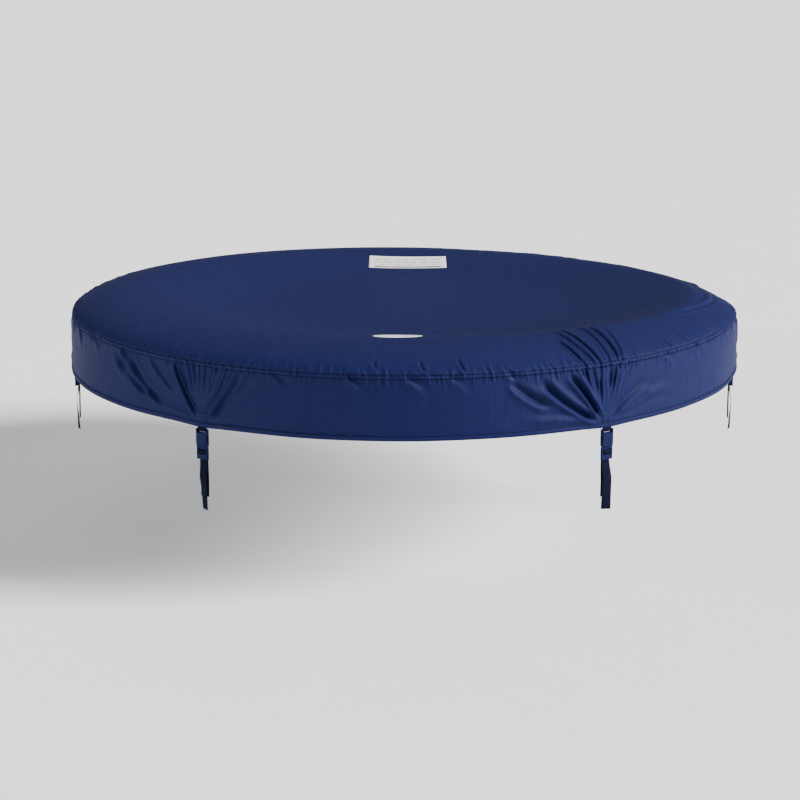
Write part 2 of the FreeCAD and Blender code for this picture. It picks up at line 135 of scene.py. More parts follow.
def new_object(
    name: str, vertices: Array, faces: Array | list, uv: Array | None = None
) -> bpy.types.Object:
    """Make a mesh object from points and faces.

    Args:
        name: object's name.
        vertices: n by 3 points in metres.
        faces: rows of vertex numbers, or a list of faces.
        uv: optional n by 2 values, one for each vertex.

    Returns:
        The object, linked to the scene, shaded smooth.
    """
    mesh = bpy.data.meshes.new(name)
    rows = faces.tolist() if isinstance(faces, np.ndarray) else faces
    mesh.from_pydata(vertices.reshape(-1, 3).tolist(), [], rows)
    mesh.shade_smooth()
    if uv is not None:
        layer = mesh.uv_layers.new(name="UVMap")
        corners = np.zeros(len(mesh.loops), dtype=np.int32)
        mesh.loops.foreach_get("vertex_index", corners)
        layer.data.foreach_set("uv", uv.reshape(-1, 2)[corners].astype(np.float32).ravel())
    mesh.validate()
    obj = bpy.data.objects.new(name, mesh)
    bpy.context.scene.collection.objects.link(obj)
    return obj


def grid_faces(rows: int, columns: int, wrap_rows: bool, wrap_columns: bool, start: int = 0) -> Array:
    """Quads of a grid of rows by columns vertices, joined end to end where asked.

    Args:
        rows: vertices along the first parameter.
        columns: vertices along the second parameter.
        wrap_rows: join the last row to the first.
        wrap_columns: join the last column to the first.
        start: number of the first vertex.

    Returns:
        n by 4 vertex numbers.
    """
    i = np.arange(rows if wrap_rows else rows - 1)
    j = np.arange(columns if wrap_columns else columns - 1)
    a, b = np.meshgrid(i, j, indexing="ij")
    c, d = (a + 1) % rows, (b + 1) % columns
    quads = [a * columns + b, c * columns + b, c * columns + d, a * columns + d]
    return start + np.stack(quads, axis=-1).reshape(-1, 4)


def shell(
    name: str, outer: Array, inner: Array, closed: bool, uv_outer: Array, uv_inner: Array
) -> bpy.types.Object:
    """A closed thin shell from two grids that share their first parameter.

    The second parameter runs along the outer grid and back along the inner one, so the section is a
    loop; the ends are capped where the shell doesn't go all the way round.

    Args:
        name: object's name.
        outer: rows by n by 3 points of the outer skin.
        inner: rows by m by 3 points of the inner skin, in the same direction.
        closed: true where the shell goes all the way round.
        uv_outer: unrolled coordinates of the outer skin.
        uv_inner: unrolled coordinates of the inner skin.

    Returns:
        The shell's object.
    """
    points = np.concatenate([outer, inner[:, ::-1]], axis=1)
    uv = np.concatenate([uv_outer, uv_inner[:, ::-1]], axis=1)
    rows, columns = points.shape[:2]
    faces = grid_faces(rows, columns, closed, True).tolist()
    if not closed:
        first = list(range(columns))
        last = [(rows - 1) * columns + k for k in range(columns)]
        faces += [first, last[::-1]]
    obj = new_object(name, points, faces, uv)
    recalculate_outwards(obj)
    return obj


def recalculate_outwards(obj: bpy.types.Object) -> None:
    """Point every face of a closed mesh outwards."""
    work = bmesh.new()
    work.from_mesh(obj.data)
    bmesh.ops.remove_doubles(work, verts=work.verts, dist=1e-6)
    bmesh.ops.recalc_face_normals(work, faces=work.faces)
    work.to_mesh(obj.data)
    work.free()
    obj.data.shade_smooth()


# ---- cloth folds on the unrolled coordinate --------------------------------------------------------
@dataclass(frozen=True)
class Fold:
    """One fold along a bowed line on the unrolled cloth.

    The line is a quadratic curve from start to end that bows sideways. Across it the height is a bell
    whose sides may differ, with a shallower trough beside it; along it the fold swells and dies out.
    """

    start: tuple[float, float]
    end: tuple[float, float]
    height: float
    width: float = 0.008
    end_width: float = 0.014
    bow: float = 0.0
    skew: float = 1.0
    trough: float = 0.5
    rise: float = 0.25
    fall: float = 0.45

    def add_to(self, total: Array, s: Array, h: Array) -> None:
        """Add this fold's height to total, in place.

        With t the share of the way along the line, the line is moved sideways by
        2 t (1 - t) times its bow and its length.

        Args:
            total: heights so far, one row for each value of s.
            s: unrolled distance round the cover, one for each row.
            h: unrolled height, with the same shape as total.
        """
        run, rise = self.end[0] - self.start[0], self.end[1] - self.start[1]
        length = math.hypot(run, rise)
        margin = 3.2 * max(self.width, self.end_width) * self.skew + abs(self.bow) * length
        turn = SIZES.round_length
        centre = (self.start[0] + self.end[0]) / 2.0
        local = (s - centre + turn / 2.0) % turn - turn / 2.0
        rows = np.flatnonzero(np.abs(local) < abs(run) / 2.0 + margin)
        if not len(rows):
            return
        ds = local[rows][:, None] + run / 2.0
        dh = h[rows] - self.start[1]
        t = np.clip((ds * run + dh * rise) / length**2, 0.0, 1.0)
        away = (dh * run - ds * rise) / length - 2.0 * t * (1.0 - t) * self.bow * length
        width = self.width + (self.end_width - self.width) * t
        bell = np.exp(-((away / np.where(away > 0.0, width * self.skew, width)) ** 2))
        beside = np.exp(-(((away - 1.9 * width) / (1.3 * width)) ** 2))
        beside = beside + np.exp(-(((away + 1.7 * width) / (1.1 * width)) ** 2))
        swell = smoothstep(t / self.rise) * smoothstep((1.0 - t) / self.fall)
        total[rows] += self.height * swell * (bell - self.trough * beside)


@dataclass
class Cloth:
    """The cover's outer cloth as a surface over azimuth and height, with all its folds."""

    seed: int = 11
    own_size: float = 1.25
    belly: float = 0.0025
    shallow: float = 0.0058
    deeper: float = 0.0140
    clear_of_seam: float = 0.085
    folds: list[Fold] = field(default_factory=list)
    waves: list[tuple[int, float, float]] = field(default_factory=list)

    def __post_init__(self) -> None:
        """Lay out the folds and the slow waves once."""
        rng = np.random.default_rng(self.seed)
        for place, azimuth in zip(PLACES, STRAP_AZIMUTHS):
            self.folds += self.strap_fan(place, azimuth * UNROLL_RADIUS, rng)
        self.folds += self.seam_puckers(rng)
        self.folds += self.hanging_folds(rng)
        self.folds += self.rim_creases(rng)
        self.waves = [
            (n, rng.uniform(0.2, 1.0) / n**0.7, rng.uniform(0.0, 2.0 * math.pi)) for n in range(3, 22)
        ]

    def strap_fan(self, place: str, s: float, rng: np.random.Generator) -> list[Fold]:
        """Folds that the strap pulls from its patch up to the seam and over it.

        The two front straps have their own sets; the others borrow one of them, mirrored or not and
        with changed sizes. Each ray is its start and its end on the unrolled cloth, measured from the
        strap, and then its height, its width at both ends and its bow.

        Args:
            place: which strap.
            s: the strap's place round the cover.
            rng: source of the small differences.

        Returns:
            The folds of one fan.
        """
        deep = (
            ((-0.108, 0.140), (-0.018, 0.020), -0.0115, 0.0066, 0.0050, 0.05),
            ((-0.186, 0.132), (-0.022, 0.014), -0.0095, 0.0085, 0.0050, -0.10),
            ((-0.262, 0.138), (-0.150, 0.062), -0.0070, 0.0090, 0.0080, -0.12),
            ((-0.048, 0.105), (-0.082, 0.270), -0.0050, 0.0034, 0.0032, 0.06),
            ((-0.018, 0.040), (-0.032, 0.345), -0.0045, 0.0034, 0.0040, -0.03),
            ((-0.030, 0.120), (-0.056, 0.330), -0.0032, 0.0032, 0.0040, 0.04),
            ((0.006, 0.060), (0.074, 0.345), -0.0045, 0.0034, 0.0042, -0.05),
            ((0.000, 0.120), (0.040, 0.340), -0.0034, 0.0032, 0.0040, -0.04),
            ((0.022, 0.110), (0.104, 0.300), -0.0028, 0.0036, 0.0050, -0.05),
            ((0.014, 0.022), (0.144, 0.080), 0.0062, 0.0048, 0.0100, 0.08),
            ((0.020, 0.018), (0.230, 0.070), 0.0034, 0.0060, 0.0120, 0.10),
            ((-0.020, 0.012), (-0.240, 0.034), 0.0032, 0.0050, 0.0110, -0.06),
        )
        soft = (
            ((-0.010, 0.020), (-0.096, 0.156), -0.0070, 0.0038, 0.0040, 0.04),
            ((0.012, 0.020), (0.106, 0.154), 0.0065, 0.0046, 0.0070, -0.05),
            ((0.020, 0.020), (0.150, 0.140), -0.0030, 0.0060, 0.0100, -0.04),
            ((-0.330, 0.136), (-0.165, 0.046), -0.0075, 0.0100, 0.0070, -0.08),
            ((-0.262, 0.140), (-0.122, 0.034), -0.0075, 0.0080, 0.0060, -0.10),
            ((-0.300, 0.120), (-0.150, 0.030), 0.0040, 0.0080, 0.0080, -0.10),
            ((-0.180, 0.150), (-0.080, 0.070), -0.0034, 0.0060, 0.0050, -0.05),
            ((-0.014, 0.016), (-0.190, 0.030), 0.0030, 0.0050, 0.0110, -0.04),
            ((0.016, 0.016), (0.200, 0.034), 0.0022, 0.0050, 0.0110, 0.04),
        )
        folds = []
        rays = {"front_right": deep, "front_left": soft}.get(place, deep if rng.random() < 0.5 else soft)
        own = place in ("front_right", "front_left")
        flip = 1.0 if own else rng.choice([-1.0, 1.0])
        for start, end, height, width, end_width, bow in rays:
            size = self.own_size if own else rng.uniform(0.65, 1.3)
            reach = 1.0 if own else rng.uniform(0.85, 1.15)
            first = (s + flip * start[0] * reach, start[1])
            last = (s + flip * end[0] * reach, end[1])
            folds.append(
                Fold(first, last, height * size, width, end_width, flip * bow, 1.4, 0.55, 0.22, 0.26)
            )
        for offset in np.linspace(-0.088, 0.088, 13):
            top = s + offset + rng.uniform(-0.004, 0.004)
            low_h = rng.uniform(0.045, 0.090)
            size = rng.choice([-1.0, 1.0]) * rng.uniform(0.0012, 0.0028)
            foot = s + offset * (0.12 + 0.8 * low_h / SIZES.height)
            start, end = (top, SIZES.height + 0.002), (foot, low_h)
            folds.append(Fold(start, end, size, 0.0030, 0.0036, 0.0, 1.3, 0.6, 0.1, 0.6))
        return folds

    def seam_puckers(self, rng: np.random.Generator) -> list[Fold]:
        """Short gathers that the seam's thread draws on both sides of it, all the way round."""
        folds = []
        s = 0.0
        seam = SIZES.height
        while s < SIZES.round_length:
            lean = rng.uniform(-0.010, 0.002)
            below = rng.uniform(0.014, 0.040)
            above = rng.uniform(0.010, 0.034)
            size = rng.uniform(0.0007, 0.0025)
            foot, knee = (s - lean, seam - below), (s, seam + 0.004)
            folds.append(Fold(foot, knee, size, 0.0030, 0.0032, 0.05, 1.3, 0.5, 0.5, 0.2))
            knee, head = (s, seam - 0.002), (s + 2.0 * lean, seam + above)
            folds.append(Fold(knee, head, size, 0.0032, 0.0048, 0.1, 1.3, 0.5, 0.2, 0.6))
            s += rng.uniform(0.011, 0.030)
        return folds

    def hanging_folds(self, rng: np.random.Generator) -> list[Fold]:
        """Slanting folds under the seam between the straps, dragged towards the next strap."""
        folds = []
        seam = SIZES.height
        for azimuth in STRAP_AZIMUTHS:
            for step in range(5):
                s = (azimuth + math.radians(14.0 + 8.0 * step + rng.uniform(-2.5, 2.5))) * UNROLL_RADIUS
                run = rng.uniform(0.045, 0.075)
                drop = rng.uniform(0.030, 0.055)
                size = rng.uniform(0.0022, 0.0052)
                start, end = (s, seam - 0.002), (s + run, seam - drop)
                folds.append(Fold(start, end, -size, 0.0060, 0.0110, 0.12, 1.7, 0.7, 0.2, 0.6))
        return folds

    def rim_creases(self, rng: np.random.Generator) -> list[Fold]:
        """Creases on the top's rim.

        Long shallow ones lie anywhere, deepest on the right where the cloth is slack. A bundle runs
        from the crest down to the seam on the right, and short ones stand on the seam.

        Args:
            rng: source of the small differences.

        Returns:
            The creases.
        """
        folds = []
        seam = SIZES.height
        for step in range(46):
            azimuth = rng.uniform(-math.pi, math.pi)
            slack = 0.35 + 0.65 * float(smoothstep(math.cos(azimuth - math.radians(75.0))))
            s = azimuth * UNROLL_RADIUS
            base = seam + rng.uniform(0.05, 0.30)
            run = rng.uniform(0.08, 0.26)
            size = rng.uniform(0.0008, 0.0022) * slack
            rise = rng.uniform(-0.035, 0.050)
            end = (s + run, base + rise)
            folds.append(Fold((s, base), end, size, 0.0050, 0.0070, 0.1, 1.6, 0.6, 0.4, 0.4))
        for step in range(11):
            first = math.radians(44.0 + 4.5 * step + rng.uniform(-2.0, 2.0)) * UNROLL_RADIUS
            last = math.radians(78.0 + 3.0 * step + rng.uniform(-2.0, 2.0)) * UNROLL_RADIUS
            base = seam + 0.165 - 0.006 * step + rng.uniform(-0.010, 0.010)
            size = rng.choice([-1.0, 1.0]) * rng.uniform(0.0018, 0.0034)
            end = (last, seam + 0.075)
            folds.append(Fold((first, base), end, size, 0.0040, 0.0075, -0.08, 1.5, 0.6, 0.3, 0.35))
        front = ((-4, 0.045), (3, 0.050), (9, 0.060))
        right = ((47, 0.040), (52, 0.062), (54, 0.050), (61, 0.034), (66, 0.045))
        for azimuth, reach in right + front:
            s = math.radians(azimuth) * UNROLL_RADIUS
            start, end = (s, seam + 0.004), (s - 0.012, seam + reach)
            folds.append(Fold(start, end, -0.0030, 0.0034, 0.0044, 0.1, 1.4, 0.6, 0.2, 0.5))
        return folds

    def height(self, azimuth: Array, h: Array) -> Array:
        """How far the cloth stands out from its smooth form at a column of angles and heights h."""
        total = np.zeros(np.broadcast(azimuth, h).shape)
        s = azimuth[:, 0] * UNROLL_RADIUS
        h = np.broadcast_to(h, total.shape)
        for fold in self.folds:
            fold.add_to(total, s, h)
        hang = 1.0 - smoothstep(h / SIZES.height)
        for count, size, phase in self.waves:
            total = total + 0.0011 * size * np.sin(count * azimuth + phase) * (0.35 + hang)
        return total

    def hem_drop(self, azimuth: Array) -> Array:
        """How far the hem's edge rises and falls round the cover."""
        total = np.zeros_like(azimuth)
        for count, size, phase in self.waves:
            total = total + 0.0012 * size * np.sin((count + 2) * azimuth + 2.0 * phase)
        lift = np.zeros_like(azimuth)
        for strap in STRAP_AZIMUTHS:
            gap = np.abs((azimuth - strap + math.pi) % (2.0 * math.pi) - math.pi) * UNROLL_RADIUS
            lift = lift - 0.0030 * np.exp(-((gap / 0.05) ** 2))
        return total + lift

    def seam_dip(self, azimuth: Array) -> Array:
        """How far the seam rides above or below its level; it sags at the rear right."""
        left = ((-180, -0.008), (-140, -0.002), (-112, -0.001), (-99, -0.006), (-86, 0.0))
        right = ((74, 0.0), (86, -0.007), (96, -0.023), (108, -0.025), (130, -0.016), (155, -0.013))
        return around(azimuth, left + right, 5.0)

    def skirt(self, azimuth: Array, h: Array, offset: float) -> Array:
        """Points of the skirt's face: a cone plus the folds, pushed outwards by offset.

        Folds go less deep near the seam, where the foam and the lining lie close behind the cloth.

        Args:
            azimuth: angle round the cover from the front.
            h: height above the hem.
            offset: distance outwards from the cloth's face.

        Returns:
            Points with a last axis of 3.
        """
        share = np.clip(h / SIZES.height, 0.0, 1.0)
        radius = SIZES.hem_radius + (SIZES.seam_radius - SIZES.hem_radius) * share
        deepest = -self.shallow - self.deeper * (1.0 - smoothstep((h - self.clear_of_seam) / 0.045))
        stand = np.maximum(self.height(azimuth, h), deepest)
        radius = radius + self.belly * np.sin(math.pi * share) + stand + offset
        z = SIZES.hem_z + h + self.hem_drop(azimuth) * (1.0 - smoothstep(share))
        z = z + self.seam_dip(azimuth) * smoothstep(share)
        return np.stack([radius * np.sin(azimuth), -radius * np.cos(azimuth), z + 0.0 * radius], axis=-1)


def spread(start: float, stop: float, count: int, ends: bool) -> Array:
    """A column of angles, closer together over the front than behind.

    The density is 1 within 75 degrees of the front and 0.62 elsewhere; the angles are read off its
    running sum at equal steps.

    Args:
        start: first angle.
        stop: last angle.
        count: how many angles to give.
        ends: include the last angle.

    Returns:
        The angles as a column.
    """
    fine = np.linspace(start, stop, 4001)
    turned = np.abs((fine + math.pi) % (2.0 * math.pi) - math.pi)
    density = 0.62 + 0.38 * (1.0 - smoothstep((turned - math.radians(72.0)) / math.radians(12.0)))
    total = np.concatenate([[0.0], np.cumsum((density[1:] + density[:-1]) / 2.0)])
    steps = np.linspace(0.0, total[-1], count, endpoint=ends)
    return np.interp(steps, total, fine)[:, None]


def around(azimuth: Array, values: Iterable[tuple[float, float]], soft: float = 14.0) -> Array:
    """A value that varies smoothly round the cover.

    The pairs are joined by straight lines, and their corners are rounded by averaging over a window.

    Args:
        azimuth: angles round the cover.
        values: pairs of an angle in degrees, rising from -180, and the value there.
        soft: half of the window, in degrees.

    Returns:
        The blended values; the last pair joins the first again.
    """
    angles, levels = zip(*values)
    turned = np.degrees(azimuth)
    window = np.linspace(-soft, soft, 9)
    return sum(np.interp(turned + step, angles, levels, period=360.0) for step in window) / len(window)


@dataclass
class TopForm:
    """The top's smooth form: a rounded rim band, a crest, and a dish that sinks inside it."""

    cloth: Cloth

    def crest_height(self, azimuth: Array) -> Array:
        """Height of the crest round the cover; it stands highest at the front right."""
        rear_left = ((-180, -0.006), (-150, -0.002), (-125, 0.004), (-100, 0.009))
        front = ((-60, 0.013), (-30, 0.018), (-8, 0.027), (14, 0.0280), (45, 0.0280), (68, 0.0215))
        rear_right = ((90, 0.0100), (112, -0.001), (140, -0.009), (160, -0.010))
        return around(azimuth, rear_left + front + rear_right)

    def crest_radius(self, azimuth: Array) -> Array:
        """Radius of the crest round the cover."""
        left = ((-180, 0.728), (-90, 0.75), (-30, 0.735), (0, 0.722))
        right = ((22, 0.735), (42, 0.775), (60, 0.775), (85, 0.79), (112, 0.77), (150, 0.735))
        return around(azimuth, left + right)

    def sharpness(self, azimuth: Array) -> Array:
        """0 where the crest is soft and 1 where it is creased."""
        left = ((-180, 0.6), (-120, 0.3), (-60, 0.0), (-5, 0.05))
        return around(azimuth, left + ((28, 0.5), (70, 0.55), (120, 0.6)))

    def dish_radius(self, azimuth: Array) -> Array:
        """Radius where the dish starts to climb."""
        left = ((-180, 0.46), (-120, 0.36), (-60, 0.30))
        return around(azimuth, left + ((0, 0.32), (60, 0.30), (120, 0.36)))

    def room(self, azimuth: Array) -> Array:
        """How deep a fold may press the top's cloth before it meets the layers inside."""
        return 0.0016 + 0.25 * np.clip(self.crest_height(azimuth) - 0.0105, 0.0, None)

    def at(
        self, azimuth: Array, v: Array, offset: float | Array, rough: bool = True
    ) -> tuple[Array, Array]:
        """Points of the top and their unrolled height.

        From v = 0 at the middle to 1 at the crest the dish rises as a blend of a smooth step and a
        power curve. From 1 to 2 the rim band falls to the seam: with w = sin(pi (v - 1) / 2), its
        height is (1 - w^p)^q of the crest's, and p and q make it rounder or more like a cone.

        Args:
            azimuth: column of angles.
            v: row of ring parameters from 0 to 2.
            offset: distance upwards and outwards from the cloth's face.
            rough: include the folds.

        Returns:
            Points with a last axis of 3, and the unrolled height at each.
        """
        crest_r, crest_z = self.crest_radius(azimuth), self.crest_height(azimuth)
        sharp = self.sharpness(azimuth)
        inner = np.clip(v, 0.0, 1.0)
        outer = np.clip(v - 1.0, 0.0, 1.0)
        swing = np.sin(outer * math.pi / 2.0)
        r = crest_r * inner + (SIZES.seam_radius - crest_r) * swing
        start = self.dish_radius(azimuth)
        x = np.clip((r - start) / (crest_r - start), 0.0, 1.0)
        climb = (1.0 - sharp) * smoothstep(x) + sharp * x**2.3
        dish = SIZES.dish_z - 0.002 * smoothstep(r / start)
        z_in = dish + (crest_z - dish) * climb
        edge = SIZES.seam_z + 0.0005 + self.cloth.seam_dip(azimuth)
        round_power, cone_power = 2.3 - 1.6 * sharp, 0.62 + 0.33 * sharp
        z_out = edge + (crest_z - edge) * (1.0 - swing**round_power + 1e-9) ** cone_power
        z = np.where(v <= 1.0, z_in, z_out)
        arc = np.hypot(SIZES.seam_radius - r, z - edge)
        h = SIZES.height + arc
        dr, dz = np.gradient(r, axis=1), np.gradient(z, axis=1)
        span = np.hypot(dr, dz) + 1e-9
        nr, nz = -dz / span, dr / span
        out = offset
        if rough:
            fade = smoothstep((r - 0.25) / 0.25)
            out = offset + np.maximum(self.cloth.height(azimuth, h), -self.room(azimuth)) * fade
        r, z = r + nr * out, z + nz * out
        points = np.stack([r * np.sin(azimuth), -r * np.cos(azimuth), z], axis=-1)
        return points, h

    def rings(self, wall: int, rim: int) -> Array:
        """Ring parameters: a few over the flat of the dish, then its wall and the rim."""
        inside = np.concatenate([np.linspace(0.0, 0.48, 4), np.linspace(0.56, 1.0, wall)])
        outside = 1.0 + np.linspace(0.0, 1.0, rim + 1)[1:]
        return np.concatenate([inside, outside])[None, :]


def unrolled(azimuth: Array, h: Array) -> Array:
    """UV values in metres along and up the unrolled cloth."""
    s = np.broadcast_to(azimuth * UNROLL_RADIUS, h.shape)
    return np.stack([s, h], axis=-1)


# ---- shader expressions ----------------------------------------------------------------------------
class Term:
    """A socket that can be used in Python arithmetic; each operator adds a Math node."""

    def __init__(self, tree: bpy.types.NodeTree, socket: bpy.types.NodeSocket) -> None:
        """Wrap one output socket of a node tree."""
        self.tree = tree
        self.socket = socket

    def math(self, operation: str, *others: "Term | float") -> "Term":
        """A Math node on this value and others."""
        node = self.tree.nodes.new("ShaderNodeMath")
        node.operation = operation
        for place, value in zip(node.inputs, (self, *others)):
            if isinstance(value, Term):
                self.tree.links.new(value.socket, place)
            else:
                place.default_value = value
        return Term(self.tree, node.outputs[0])

    def __add__(self, other: "Term | float") -> "Term":
        """Sum."""
        return self.math("ADD", other)

    __radd__ = __add__

    def __mul__(self, other: "Term | float") -> "Term":
        """Product."""
        return self.math("MULTIPLY", other)

    __rmul__ = __mul__

    def __sub__(self, other: "Term | float") -> "Term":
        """Difference."""
        return self.math("SUBTRACT", other)

    def __rsub__(self, other: float) -> "Term":
        """Difference from a plain number."""
        return self.math("MULTIPLY", -1.0).math("ADD", other)

    def __truediv__(self, other: "Term | float") -> "Term":
        """Quotient."""
        return self.math("DIVIDE", other)

    def __pow__(self, other: float) -> "Term":
        """Power."""
        return self.math("POWER", other)

    def sin(self) -> "Term":
        """Sine."""
        return self.math("SINE")

    def clamp(self, lowest: float = 0.0, highest: float = 1.0) -> "Term":
        """Value kept between two limits."""
        return self.math("MAXIMUM", lowest).math("MINIMUM", highest)

    def above(self, edge: float, soft: float) -> "Term":
        """0 below edge and 1 above it, over a soft step."""
        return ((self - edge) / soft + 0.5).clamp()


class Finish:
    """A material being built: one Principled shader and the nodes that feed it."""

    def __init__(self, name: str) -> None:
        """Start a material with an empty tree, a Principled shader and an output."""
        self.material = bpy.data.materials.new(name)
        self.material.use_nodes = True
        self.tree = self.material.node_tree
        self.tree.nodes.clear()
        output = self.tree.nodes.new("ShaderNodeOutputMaterial")
        self.shader = self.tree.nodes.new("ShaderNodeBsdfPrincipled")
        self.tree.links.new(self.shader.outputs[0], output.inputs[0])

    def node(self, kind: str, settings: dict | None = None, inputs: dict | None = None) -> bpy.types.Node:
        """A node with its settings made first and then its inputs' values or links.

        Args:
            kind: node type.
            settings: attribute names and values; the key "stops" holds a ramp's stops.
            inputs: input names or numbers with numbers, colours or terms.

        Returns:
            The node.
        """
        node = self.tree.nodes.new(kind)
        for name, value in (settings or {}).items():
            if name == "stops":
                ramp = node.color_ramp
                while len(ramp.elements) > 1:
                    ramp.elements.remove(ramp.elements[-1])
                for index, (place, colour) in enumerate(value):
                    stop = ramp.elements[0] if index == 0 else ramp.elements.new(place)
                    stop.position = place
                    stop.color = (*colour, 1.0)
            else:
                setattr(node, name, value)
        for key, value in (inputs or {}).items():
            if isinstance(value, Term):
                self.tree.links.new(value.socket, node.inputs[key])
            else:
                node.inputs[key].default_value = value
        return node

    def term(self, node: bpy.types.Node, output: int | str = 0) -> Term:
        """One output of a node as a term."""
        return Term(self.tree, node.outputs[output])

    def parts(self, vector: Term) -> tuple[Term, Term, Term]:
        """The three numbers of a vector."""
        split = self.node("ShaderNodeSeparateXYZ", None, {0: vector})
        return self.term(split, 0), self.term(split, 1), self.term(split, 2)

    def uv(self) -> Term:
        """The piece's own unrolled coordinate, in metres."""
        return self.term(self.node("ShaderNodeUVMap", {"uv_map": "UVMap"}))

    def place(self) -> Term:
        """Object coordinates, in metres."""
        return self.term(self.node("ShaderNodeTexCoord"), "Object")

    def noise(self, vector: Term, scale: float, detail: float = 3.0, roughness: float = 0.55) -> Term:
        """Soft noise from 0 to 1."""
        inputs = {"Vector": vector, "Scale": scale, "Detail": detail, "Roughness": roughness}
        return self.term(self.node("ShaderNodeTexNoise", None, inputs), 0)

    def stretched(self, vector: Term, scale: tuple[float, float, float]) -> Term:
        """A vector scaled along each axis."""
        return self.term(self.node("ShaderNodeMapping", None, {"Vector": vector, "Scale": scale}))

    def mix(self, share: Term, first: Colour, second: "Colour | Term") -> Term:
        """A colour between two, by share."""
        node = self.node("ShaderNodeMix", {"data_type": "RGBA"}, {0: share})
        for socket, value in zip((node.inputs[6], node.inputs[7]), (first, second)):
            if isinstance(value, Term):
                self.tree.links.new(value.socket, socket)
            else:
                socket.default_value = (*value, 1.0)
        return Term(self.tree, node.outputs[2])

    def tint(self, colour: Term, share: Term, over: Colour) -> Term:
        """A colour with another laid over it, by share."""
        node = self.node("ShaderNodeMix", {"data_type": "RGBA"}, {0: share})
        self.tree.links.new(colour.socket, node.inputs[6])
        node.inputs[7].default_value = (*over, 1.0)
        return Term(self.tree, node.outputs[2])

    def bump(self, heights: Iterable[tuple[Term, float]]) -> None:
        """Feed the shader's normal from heights in metres, each with its own scale."""
        total: Term | None = None
        for height, scale in heights:
            part = height * scale
            total = part if total is None else total + part
        node = self.node("ShaderNodeBump", None, {"Strength": 1.0, "Distance": 1.0, "Height": total})
        self.tree.links.new(node.outputs[0], self.shader.inputs["Normal"])

    def set(self, **values: "float | Colour | Term") -> "Finish":
        """Set the shader's sockets; words joined by _ name them."""
        for key, value in values.items():
            socket = self.shader.inputs[key.replace("_", " ")]
            if isinstance(value, Term):
                self.tree.links.new(value.socket, socket)
            elif isinstance(value, tuple) and len(value) == 3:
                socket.default_value = (*value, 1.0)
            else:
                socket.default_value = value
        return self


@dataclass(frozen=True)
class CoatedCloth:
    """Navy polyester with a coated back: ribbed weave, faint creases, and painted shade in the rib hollows.
    """

    name: str = "coated_navy_cloth"
    deep: Colour = (0.0056, 0.0080, 0.0480)
    light: Colour = (0.0076, 0.0106, 0.0590)
    rib: float = 0.0056

    def build(self) -> bpy.types.Material:
        """Make the material."""
        f = Finish(self.name)
        uv = f.uv()
        along, up, _ = f.parts(uv)
        ribs = (along * (2.0 * math.pi / self.rib)).sin()
        threads = (up * (2.0 * math.pi / 0.0019)).sin()
        blotch = f.noise(uv, 3.2, 4.0)
        fine = f.noise(uv, 60.0, 3.0)
        crease = f.noise(f.stretched(uv, (26.0, 9.0, 1.0)), 1.0, 5.0, 0.62)
        colour = f.mix((blotch * 0.75 + fine * 0.25).clamp(), self.deep, self.light)
        # painted shade: the rib troughs are tinted darker, standing in for shade in the weave's hollows
        colour = f.tint(colour, (ribs * -0.5 + 0.5) * 0.16, tuple(0.5 * c for c in self.deep))
        f.set(Base_Color=colour, Roughness=(0.50 + 0.16 * blotch + 0.05 * fine).clamp())
        f.set(Specular_IOR_Level=0.07)
        f.bump([(ribs, 0.00009), (threads, 0.00003), (crease, 0.0030), (fine, 0.0004)])
        return f.material


@dataclass(frozen=True)
class Thread:
    """Dark sewing thread."""

    name: str = "sewing_thread"
    colour: Colour = (0.0010, 0.0014, 0.0060)

    def build(self) -> bpy.types.Material:
        """Make the material."""
        f = Finish(self.name)
        grain = f.noise(f.place(), 900.0, 2.0)
        f.set(Base_Color=f.mix(grain, self.colour, tuple(2.0 * c for c in self.colour)), Roughness=0.9)
        f.set(Specular_IOR_Level=0.01)
        f.bump([(grain, 0.0001)])
        return f.material


@dataclass(frozen=True)
class Webbing:
    """Flat woven webbing: slanting herringbone rows with soft edges."""

    name: str = "navy_webbing"
    dark: Colour = (0.0026, 0.0032, 0.0090)
    light: Colour = (0.0076, 0.0092, 0.0300)
    pitch: float = 0.0021

    def build(self) -> bpy.types.Material:
        """Make the material."""
        f = Finish(self.name)
        across, along, _ = f.parts(f.uv())
        zigzag = (across * (2.0 * math.pi / 0.006)).sin() * 0.0012
        rows = ((along + zigzag) * (2.0 * math.pi / self.pitch)).sin()
        ends = (across * (2.0 * math.pi / 0.0016)).sin()
        weave = (rows * 0.5 + ends * 0.25 + 0.5).clamp()
        dirt = f.noise(f.uv(), 90.0, 3.0)
        f.set(Base_Color=f.mix((weave * 0.7 + dirt * 0.3).clamp(), self.dark, self.light))
        f.set(Roughness=(0.70 + 0.2 * dirt).clamp(), Specular_IOR_Level=0.04)
        f.bump([(rows, 0.00022), (ends, 0.00012)])
        return f.material


@dataclass(frozen=True)
class MouldedPlastic:
    """Moulded nylon with a fine grain and faint handling marks."""

    name: str
    colour: Colour
    roughness: float = 0.42
    grain: float = 0.00005

    def build(self) -> bpy.types.Material:
        """Make the material."""
        f = Finish(self.name)
        place = f.place()
        grain = f.noise(place, 2600.0, 2.0)
        marks = f.noise(f.stretched(place, (1.0, 1.0, 0.35)), 160.0, 4.0, 0.7)
        worn = marks.above(0.62, 0.18)
        f.set(Base_Color=f.mix(worn * 0.5, self.colour, tuple(1.8 * c + 0.006 for c in self.colour)))
        f.set(Roughness=(self.roughness + 0.16 * marks + 0.06 * grain).clamp(), Specular_IOR_Level=0.06)
        f.bump([(grain, self.grain), (marks, 0.00012)])
        return f.material


